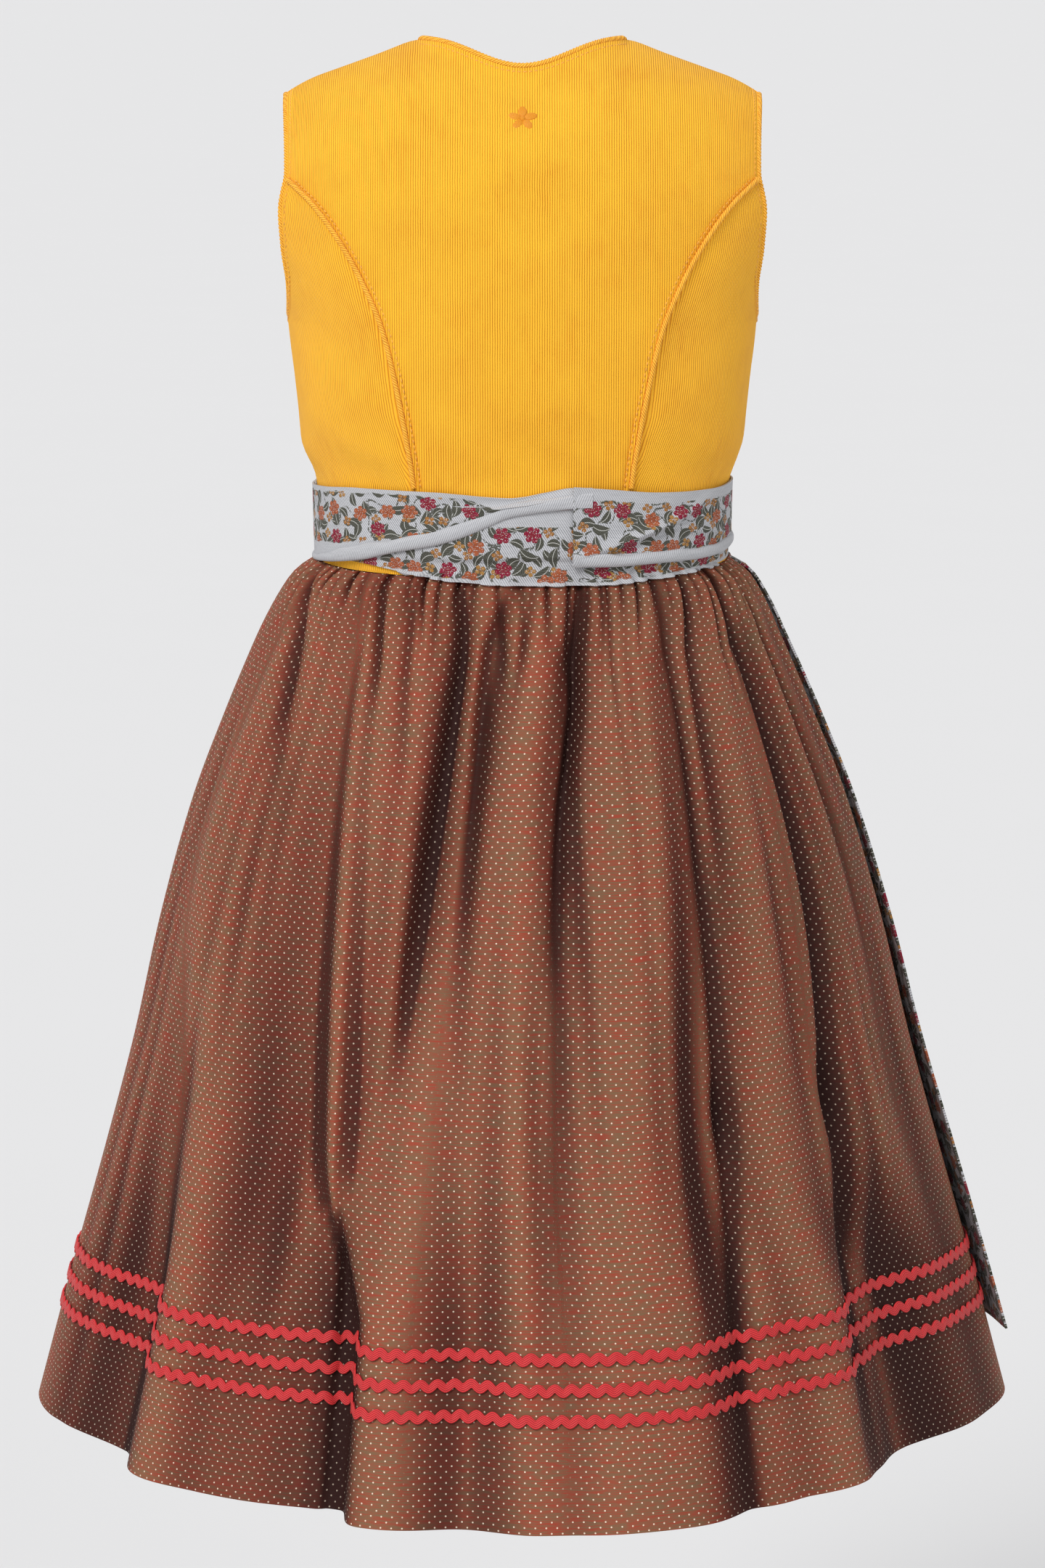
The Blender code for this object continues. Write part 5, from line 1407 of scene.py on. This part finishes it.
def build_apron():
    columns, rows = 300, 72
    first, last = (float(place_at(d)) for d in APRON_SIDES)
    place = np.linspace(first, last, columns + 1)
    z = level_rows(np.full_like(place, APRON_TOP_Z), APRON_HEM_Z, rows)
    # its two side edges stand off a little, the one on the wearer's right more
    edge = (np.exp(-((place[None] - first) * 96 / 1.2))
            + 0.35 * np.exp(-((last - place[None]) * 96 / 1.2)))
    stands_off, gathers, under_band = 0.0060, 0.75, 0.0024
    out = apron_over(z) + 0.0006 + stands_off * np.maximum(0, down_apron(z)) * edge
    points, _ = skirt_at(place[None] + 0 * z, z, out, gathers)
    # the top edge goes in under the waistband
    tuck = 1 - step(0.0, 0.006, APRON_TOP_Z - z)
    inner = bodice_at(np.broadcast_to(column_degrees(place), z.shape), z, under_band)
    points = points * (1 - tuck[..., None]) + inner * tuck[..., None]
    across, down = arc(points, 1), arc(points, 0)
    u = (place - first) / (last - first) * across[-1, -1]
    mid = across.shape[1] // 2
    shown = across - across[:, mid:mid + 1] + u[mid]
    uv = np.stack([0.35 * np.broadcast_to(u, shown.shape) + 0.65 * shown,
                   np.broadcast_to(down.mean(1)[:, None], shown.shape)], -1)
    # a double hem below and down the sides, a little thicker, with its stitch line
    side_in = np.minimum(across, across[:, -1:] - across)
    hem_in = np.minimum(side_in, (down[-1:] - down) * 0.62)
    lift = 0.00035 * (1 - step(0.0110, 0.0125, hem_in)) - 0.0005 * bump(hem_in, 0.0118, 0.0007)
    points = points + grid_normals(points, SKIRT_CENTRE) * lift[..., None]
    thing = wall(grid_piece(points, uv, centre=SKIRT_CENTRE), APRON_WALL)
    thing = finish_piece(thing, "apron_cloth", APRON_CLOTH, ["apron"])


# A band's finished width, and the height below which it lies on the skirt where that is wider
BAND_TALL, BAND_ON_SKIRT_Z = 0.040, -0.2818


def roll_over(points, degrees, bottom, deep, tall):
    """Rows that carry a band's lower margin on, out, up and in again over its own edge, and how
    far along the cloth each one is."""
    _, outward = ring(BODICE, degrees, bottom, BODY_POWER)
    turns = np.radians(np.linspace(15, 330, 16))
    curl = [points[-1] + outward * (deep * np.sin(turn))[:, None]
            + np.array([0, 0, 1.0]) * (tall * (1 - np.cos(turn)))[:, None] for turn in turns]
    extra = BAND_TALL + (turns - turns[0])[:, None] * (deep + tall)[None] * 0.55
    return np.array(curl), extra


def band_piece(name, node, table, layer, fold=None, roll=None, columns=220, shift=0.0):
    """A band round the waist. table gives the top and bottom edges by angle, and layer(degrees)
    how far out from the bodice it lies. fold(degrees, z, share) moves it further out or in;
    roll(degrees) gives the depth and half the height of the soft fold along its lower edge."""
    table = np.array(table, float)
    degrees = np.linspace(table[0, 0], table[-1, 0], columns + 1)
    top = smooth(table[:, 0], table[:, 1], degrees)
    bottom = smooth(table[:, 0], table[:, 2], degrees)
    share = np.linspace(0, 1, 33)
    height = top - bottom
    z = top[None] - height[None] * share[:, None]
    out = np.broadcast_to(layer(degrees), z.shape).copy()
    if fold is not None:
        out = out + fold(degrees[None] + 0 * z, z, share[:, None] + 0 * z)
    base = bodice_at(degrees[None] + 0 * z, z, out)
    low, _ = skirt_at(place_at(degrees)[None] + 0 * z, z, out + 0.0012)
    base_r, low_r = np.hypot(base[..., 0], base[..., 1]), np.hypot(low[..., 0], low[..., 1])
    over = (z < BAND_ON_SKIRT_Z) & (low_r > base_r)
    points = np.where(over[..., None], low, base)
    across = arc(points, 1).mean(0)
    # a band pulled narrow is folded behind, so its flowers keep their size and are cut off
    rows_v = share[:, None] * (BAND_TALL * np.clip(height / 0.036, 0.1, 1.0))[None]
    rows_v = rows_v - 0.0040 * step(0.022, 0.012, height)[None]
    if roll is not None:
        curl, extra = roll_over(points, degrees, bottom, *roll(degrees))
        points, rows_v = np.concatenate([points, curl]), np.concatenate([rows_v, extra])
    uv = np.stack([np.broadcast_to(across + shift * 7, rows_v.shape), rows_v + shift], -1)
    thing = wall(grid_piece(points, uv, centre=(0, 0, -0.26)), TIE_WALL)
    piece = finish_piece(thing, name, BAND_CLOTH, [node])


# The bands: angle, then the heights of the upper and the lower edge
FRONT_BAND = ((174.3, -0.2402, -0.2800), (270, -0.2402, -0.2800), (365.7, -0.2402, -0.2800))
TIE_UNDER = ((6, -0.2440, -0.2785), (24, -0.2450, -0.2775), (42, -0.2460, -0.2788),
             (58, -0.2460, -0.2822), (76, -0.2460, -0.2868), (90, -0.2460, -0.2885),
             (104, -0.2460, -0.2885), (120, -0.2460, -0.2868), (138, -0.2460, -0.2842),
             (156, -0.2450, -0.2818), (174, -0.2440, -0.2800))
TIE_LEFT = ((-87, -0.2440, -0.2790), (-45, -0.2430, -0.2793), (-22, -0.2420, -0.2797),
            (0, -0.2411, -0.2812), (24, -0.2398, -0.2795), (42, -0.2385, -0.2765),
            (57, -0.2386, -0.2708), (69, -0.2390, -0.2666), (76, -0.2400, -0.2625),
            (83, -0.2414, -0.2562), (88, -0.2420, -0.2512), (94, -0.2391, -0.2483),
            (101, -0.2362, -0.2468), (106, -0.2362, -0.2464))
TIE_RIGHT = ((101, -0.2357, -0.2779), (110, -0.2372, -0.2779), (126, -0.2398, -0.2769),
             (140, -0.2404, -0.2766), (158, -0.2400, -0.2752), (174, -0.2385, -0.2725),
             (225, -0.2400, -0.2770), (267, -0.2440, -0.2790))
# How far out from the bodice the layers of bands lie
LAYER_INNER, LAYER_OUTER, LAYER_TOP = 0.0013, 0.0026, 0.0039


def build_bands():
    """The apron's waistband, and its ties: one under the crossing, then the left and the right."""
    def constant(value):
        return lambda degrees: np.full_like(degrees, value)

    def right_layer(degrees):
        t = np.clip((degrees - 124) / 16, 0, 1)
        return LAYER_TOP + (LAYER_OUTER - LAYER_TOP) * t

    def under_fold(degrees, z, share):
        """Above a line along the band its cloth laps over what is below."""
        lap = -0.2745 + 0.0008 * np.sin(np.radians(degrees * 4))
        return 0.0016 * step(lap - 0.0007, lap + 0.0001, z) * bump(degrees, 86, 26)

    def left_fold(degrees, z, share):
        """Ridges where the band is pulled narrow, and one swell along them."""
        pulled = step(30, 95, degrees)
        ridge = np.sin(share * 9 + degrees / 9)
        swell = 0.0016 * bump(share, 0.20 + (degrees - 60) / 110, 0.08) * bump(degrees, 88, 16)
        return 0.0006 * pulled * ridge + 0.0006 * bump(share, 0.55, 0.12) * pulled + swell

    def right_fold(degrees, z, share):
        """A crease with a swell above it, a second swell, and the end's thicker hem."""
        line = 0.92 - (degrees - 104) / 46 * 0.75
        crease = -0.0016 * bump(share, line + 0.07, 0.05) * bump(degrees, 124, 22)
        swell = 0.0034 * bump(share, line - 0.05, 0.07) * bump(degrees, 122, 20)
        second = 0.0018 * bump(share, 0.30 + (degrees - 110) / 120, 0.06)
        swell = swell + second * bump(degrees, 150, 16)
        return crease + swell + 0.0006 * (1 - step(101.5, 103.0, degrees))

    def left_roll(degrees):
        soft = 1 + 0.10 * np.sin(degrees / 5.3) + 0.06 * np.sin(degrees / 2.3)
        return (0.0004 + 0.0008 * step(10, 40, degrees) * (1 - step(94, 100.5, degrees)),
                (0.0007 + 0.0024 * step(10, 40, degrees)) * soft)

    def right_roll(degrees):
        soft = 1 + 0.10 * np.sin(degrees / 4.9) + 0.06 * np.sin(degrees / 2.1)
        return (0.0005 + 0.0008 * bump(degrees, 114, 16) + 0.0003 * bump(degrees, 140, 20),
                (0.0022 + 0.0008 * bump(degrees, 106, 9)) * soft)

    inner, outer = constant(LAYER_INNER), constant(LAYER_OUTER)
    band_piece("apron_front_band", "apron_waistband", FRONT_BAND, inner)
    band_piece("under_band", "tie_under", TIE_UNDER, inner, under_fold,
               shift=-0.0042)
    band_piece("left_band", "tie_left", TIE_LEFT, outer, left_fold, left_roll,
               columns=260, shift=0.0036)
    band_piece("right_band", "tie_right", TIE_RIGHT, right_layer, right_fold,
               right_roll, columns=240)


# ---------------------------------------------------------------- bow, buttons, embroidery

# Where the knot's back and middle lie, its size, and how far its middle is out from its back
KNOT_BACK_Y, KNOT_Z, KNOT_SIZE, KNOT_OUT = -0.0869, -0.2613, (0.0185, 0.0115, 0.027), 0.0062


def build_bow():
    """The knot, then the two loops and tails."""
    centre = Vector((0, KNOT_BACK_Y - KNOT_OUT, KNOT_Z))
    bpy.ops.object.select_all(action="DESELECT")
    bpy.ops.mesh.primitive_cube_add(size=1.0, location=centre, scale=KNOT_SIZE)
    thing = bpy.context.object
    on_whole_mesh(thing, cut_up_cube)
    bpy.ops.object.transform_apply(location=True, rotation=True, scale=True)
    for vertex in thing.data.vertices:
        away = vertex.co - centre
        x, y, z = (a / (size / 2) for a, size in zip(away, KNOT_SIZE))
        round_off = 1 - 0.10 * (x * x * y * y + y * y * z * z + x * x * z * z)
        pinch = 1 - 0.10 * (1 - z * z)
        crease = -0.0011 * math.exp(-((x + 0.25 * z - 0.15) / 0.22) ** 2) * (y < -0.3)
        crease -= 0.0008 * math.exp(-((x + 0.15 * z + 0.55) / 0.18) ** 2) * (y < -0.3)
        vertex.co = centre + Vector(
            (away.x * round_off * pinch, away.y * round_off - crease, away.z * round_off))
    finish_piece(thing, "bow_knot_cloth", APRON_CLOTH, ["bow_knot"], 60)
    for word, side in SIDES:
        build_loop(word, side)
        build_tail(word, side)


def cut_up_cube():
    bpy.ops.mesh.subdivide(number_cuts=7)
    bpy.ops.uv.cube_project(cube_size=1.0)


def build_loop(word, side):
    """A loop of the bow: a flat ring of band, pinched at the knot, drooping at its end."""
    start, reach, tall, deep = 0.0103, 0.064, 0.034, 0.017
    turn = np.linspace(0, 2 * math.pi, 97)
    share = np.linspace(0, 1, 17)[:, None]
    along = (1 - np.cos(turn)) / 2
    opened = np.sin(np.minimum(1.0, along * 1.4) * math.pi / 2)
    height = tall * (0.55 + 0.45 * opened)
    x = start + (reach - start) * along + 0 * share
    fan = np.sin(share * math.pi * 5 + 0.6) * np.exp(-along / 0.32)[None]
    y = KNOT_BACK_Y - 0.0003 - deep / 2 + deep / 2 * np.sin(turn)[None] * (0.9 + 0 * share)
    y = y + 0.0013 * fan * np.sign(np.sin(turn))[None] * step(0.0, 0.08, along)[None]
    y = y - 0.0016 * bump(share, 0.5, 0.25) * opened[None] * (np.sin(turn) < 0)[None]
    z = KNOT_Z + (0.5 - share) * height[None] - 0.008 * along[None] ** 2
    z = z + 0.0012 * np.sin(x * 160)
    points = np.stack([side * x, np.minimum(y, KNOT_BACK_Y - 0.0004), z], -1)
    points[:, -1] = points[:, 0]
    uv = np.stack([arc(points, 1), share * 0.04 + 0 * x], -1)
    middle = (side * (start + reach) / 2, KNOT_BACK_Y - deep / 2, KNOT_Z)
    thing = wall(grid_piece(points, uv, centre=middle, closes_rows=True), TIE_WALL)
    thing = finish_piece(thing, f"bow_loop_{word}_cloth", BAND_CLOTH,
                         [f"bow_loop_{word}"])


def build_tail(word, side):
    """A tail of the bow, hanging over the apron, its end cut at a slant."""
    top_z, end_z, slant = KNOT_Z - 0.0135 - 0.0003, -0.4650, 0.010
    t = np.linspace(0, 1, 61)[:, None]
    share = np.linspace(-1, 1, 21)[None]
    half = 0.0065 + 0.0100 * np.minimum(1.0, 2 * t)
    middle = 0.0065 + 0.0003 + 0.0275 * t**0.8
    x = middle + share * half
    z = top_z + (end_z - top_z) * t - slant * step(0.9, 1.0, t) * (share * 0.5 + 0.5) + 0 * x
    sine = np.clip(x / smooth(SKIRT[:, 0], SKIRT[:, 1], z), 0, 0.9)
    angle = 270 + side * np.degrees(np.arcsin(sine))
    lay, _ = skirt_at(place_at(angle), np.minimum(z, -0.2850), apron_over(z) + 0.0040, 0.3)
    fold = 0.0011 * np.sin(share * 7 + 0.8) * (1 - 0.75 * t) + 0.0009 * np.sin(t * 16 + share)
    y = np.minimum(lay[..., 1] - 0.0006, -0.0935) - 0.0010 - np.abs(fold)
    ease = 1 - step(0.0, 0.10, t)  # flat against the knot, where it comes out
    y = y * (1 - ease) + (-0.0942) * ease
    points = np.stack([side * x, y, z], -1)
    down = np.broadcast_to(arc(points, 0).mean(1)[:, None], x.shape)
    uv = np.stack([down, (share + 1) * 0.02 + 0 * x], -1)
    thing = wall(grid_piece(points, uv, centre=(0, 0, -0.35)), TIE_WALL)
    thing = finish_piece(thing, f"bow_tail_{word}_cloth", BAND_CLOTH,
                         [f"bow_tail_{word}"])


BUTTONS, BUTTON_TOP_Z, BUTTON_LOW_Z = 6, -0.092, -0.228
BUTTON_R, BUTTON_THICK, HOLE_R, HOLE_OUT = 0.0065, 0.0024, 0.0007, 0.00125


def button_master():
    """One button: dished, rimmed, with four holes."""
    bpy.ops.object.select_all(action="DESELECT")
    bpy.ops.mesh.primitive_cylinder_add(vertices=40, radius=BUTTON_R, depth=BUTTON_THICK)
    master = bpy.context.object
    bpy.ops.object.mode_set(mode="EDIT")
    bpy.ops.mesh.select_all(action="DESELECT")
    bpy.ops.object.mode_set(mode="OBJECT")
    for face in master.data.polygons:
        face.select = face.normal.z > 0.9
    bpy.ops.object.mode_set(mode="EDIT")
    bpy.ops.mesh.select_mode(type="FACE")
    bpy.ops.mesh.inset(thickness=0.0013, depth=0.0)
    bpy.ops.mesh.inset(thickness=0.0006, depth=-0.0007)
    bpy.ops.object.mode_set(mode="OBJECT")
    holes = []
    for x in (-HOLE_OUT, HOLE_OUT):
        for y in (-HOLE_OUT, HOLE_OUT):
            bpy.ops.mesh.primitive_cylinder_add(
                vertices=14, radius=HOLE_R, depth=0.006, location=(x, y, 0))
            holes.append(bpy.context.object)
            cut = master.modifiers.new("hole", "BOOLEAN")
            cut.operation, cut.object, cut.solver = "DIFFERENCE", holes[-1], "EXACT"
    rounding = master.modifiers.new("rounding", "BEVEL")
    rounding.width, rounding.segments, rounding.limit_method = 0.0003, 2, "ANGLE"
    apply_all(master)
    for hole in holes:
        bpy.data.objects.remove(hole, do_unlink=True)
    return master


def build_buttons():
    """Copies of one button down the front, each square to the cloth, then their threads."""
    master = button_master()
    turns = []
    for k in range(BUTTONS):
        z = BUTTON_TOP_Z + (BUTTON_LOW_Z - BUTTON_TOP_Z) * k / (BUTTONS - 1)
        point, out = ring(BODICE, 270.0, z, BODY_POWER)
        slope = bodice_at(270.0, z + LEAN_STEP) - bodice_at(270.0, z - LEAN_STEP)
        normal = Vector(out - slope * (out @ slope) / (slope @ slope)).normalized()
        copy = bpy.data.objects.new(f"horn_button_{k + 1}", master.data.copy())
        bpy.context.scene.collection.objects.link(copy)
        turn = normal.to_track_quat("Z", "Y").to_matrix().to_4x4()
        turn.translation = Vector(point) + normal * 0.0018
        copy.data.transform(turn)
        finish_piece(copy, f"horn_button_{k + 1}", HORN, [f"button_{k + 1}"], 35)
        turns.append((np.array(normal), turn))
    bpy.data.objects.remove(master, do_unlink=True)
    for k, (normal, turn) in enumerate(turns, 1):
        # a thread over each pair of holes, and a little past them
        middle = np.array(turn.translation) + normal * 0.0009
        across, up = (np.array(turn.to_3x3().col[i]) for i in (0, 1))
        for row, (out, high) in enumerate(((-0.0014, HOLE_OUT), (0.0014, -HOLE_OUT)), 1):
            a = middle + across * out + up * high
            b = middle - across * out + up * high
            stitches(np.array([a, (a + b) / 2, b]), np.array([normal] * 3),
                     f"button_thread_{k}_{row}", 0.0028, 0.0027, 0.00036)


def build_flower():
    """A small five-petal flower in satin stitch at centre back, in the bodice's own colour."""
    middle_z, size, rows = -0.0440, 0.0045, 60
    share = (middle_z - YOKE_BACK_Z) / (NECK_POINT_Z - NECK_BACK_DIP - YOKE_BACK_Z)
    column = yoke(np.array([0.0, 0.004]), True, rows)[:, 0]
    row = int(round(share * rows)) - 1
    middle = column[row]
    up = unit(column[row + 2] - column[row - 2])
    across = np.array([1.0, 0, 0])
    normal = unit(np.cross(up, across))
    if normal[1] < 0:
        normal = -normal

    def disc(name, x, y, radii, turn, high):
        """A domed oval of satin stitches at (x, y) from the middle."""
        angle = np.linspace(0, 2 * math.pi, 41)
        rings = np.linspace(0.0001, 1, 12)
        x0 = rings[:, None] * radii[0] * np.cos(angle)
        y0 = rings[:, None] * radii[1] * np.sin(angle)
        c, s = math.cos(turn), math.sin(turn)
        x, y = x + x0 * c - y0 * s, y + x0 * s + y0 * c
        lift = high * np.sqrt(np.maximum(0, 1 - rings**2))[:, None] + 0 * x
        lift = lift * (1 + 0.10 * np.sin(y0 * 2 * math.pi / 0.0007)) + 0.0002
        sag = (x**2 + y**2) * 2.5
        points = (middle + x[..., None] * across + y[..., None] * up
                  + (lift - sag)[..., None] * normal)
        points[:, -1] = points[:, 0]
        uv = np.stack([x0 * 0.2, y0], -1)
        thing = grid_piece(points, uv, centre=middle - normal * 0.01, closes_rows=True)
        wall(thing, 0.0003)
        finish_piece(thing, name, EMBROIDERY, [], 60)

    for k in range(5):
        turn = math.pi / 2 + 2 * math.pi * k / 5
        disc(f"flower_petal_{k + 1}", size * math.cos(turn), size * math.sin(turn),
             (0.0036, 0.0023), turn, 0.0010)
    disc("flower_heart", 0, 0, (0.0015, 0.0015), 0.0, 0.0012)


# ---------------------------------------------------------------- studio

FLOOR_Z, FLOOR_SIZE, FLOOR_RISES = -1.20, 16000.0, 0.4
# The photograph's camera: its place, how many degrees it looks down, and its lens in mm
CAMERA_PLACE, CAMERA_DOWN, CAMERA_LENS = (0, 2.6, 0.019), 9.34, 109.4


def build_studio():
    """A pale floor far below, an even sky, two soft suns and the photograph's camera."""
    bpy.ops.object.select_all(action="DESELECT")
    bpy.ops.mesh.primitive_plane_add(size=FLOOR_SIZE, location=(0, 0, FLOOR_Z))
    floor = bpy.context.object
    for corner in floor.data.vertices:  # it rises a little into the distance, past the picture
        corner.co.z = -corner.co.y * math.tan(math.radians(FLOOR_RISES))
    floor.name = "studio_floor"
    floor.data.materials.append(make_floor())
    world = bpy.data.worlds.new("studio air")
    bpy.context.scene.world = world
    world.use_nodes = True
    back = world.node_tree.nodes["Background"]
    back.inputs[0].default_value = (0.56, 0.56, 0.57, 1.0)
    back.inputs[1].default_value = 1.0
    # strength, and the degrees of each sun's width, tilt and turn
    suns = (("key", 2.1, 28, -50, -34), ("fill", 0.40, 60, -66, 46))
    for name, energy, angle, tilt, turn in suns:
        lamp = bpy.data.lights.new(name, "SUN")
        lamp.energy = energy
        lamp.angle = math.radians(angle)
        thing = bpy.data.objects.new(name, lamp)
        thing.rotation_euler = (math.radians(tilt), 0, math.radians(turn))
        bpy.context.scene.collection.objects.link(thing)
    camera = bpy.data.cameras.new("camera")
    camera.sensor_fit = "VERTICAL"
    camera.sensor_height = 36.0
    camera.lens = CAMERA_LENS
    camera.clip_end = 20000.0
    holder = bpy.data.objects.new("camera", camera)
    holder.location = CAMERA_PLACE
    holder.rotation_euler = (math.radians(90 - CAMERA_DOWN), 0, math.pi)
    bpy.context.scene.collection.objects.link(holder)
    bpy.context.scene.camera = holder
    bpy.context.scene.view_settings.view_transform = "Standard"


build_studio()
panel_edges = build_bodice()
build_piping(panel_edges)
build_skirt()
build_ricrac()
build_apron()
build_bands()
build_bow()
build_buttons()
build_flower()
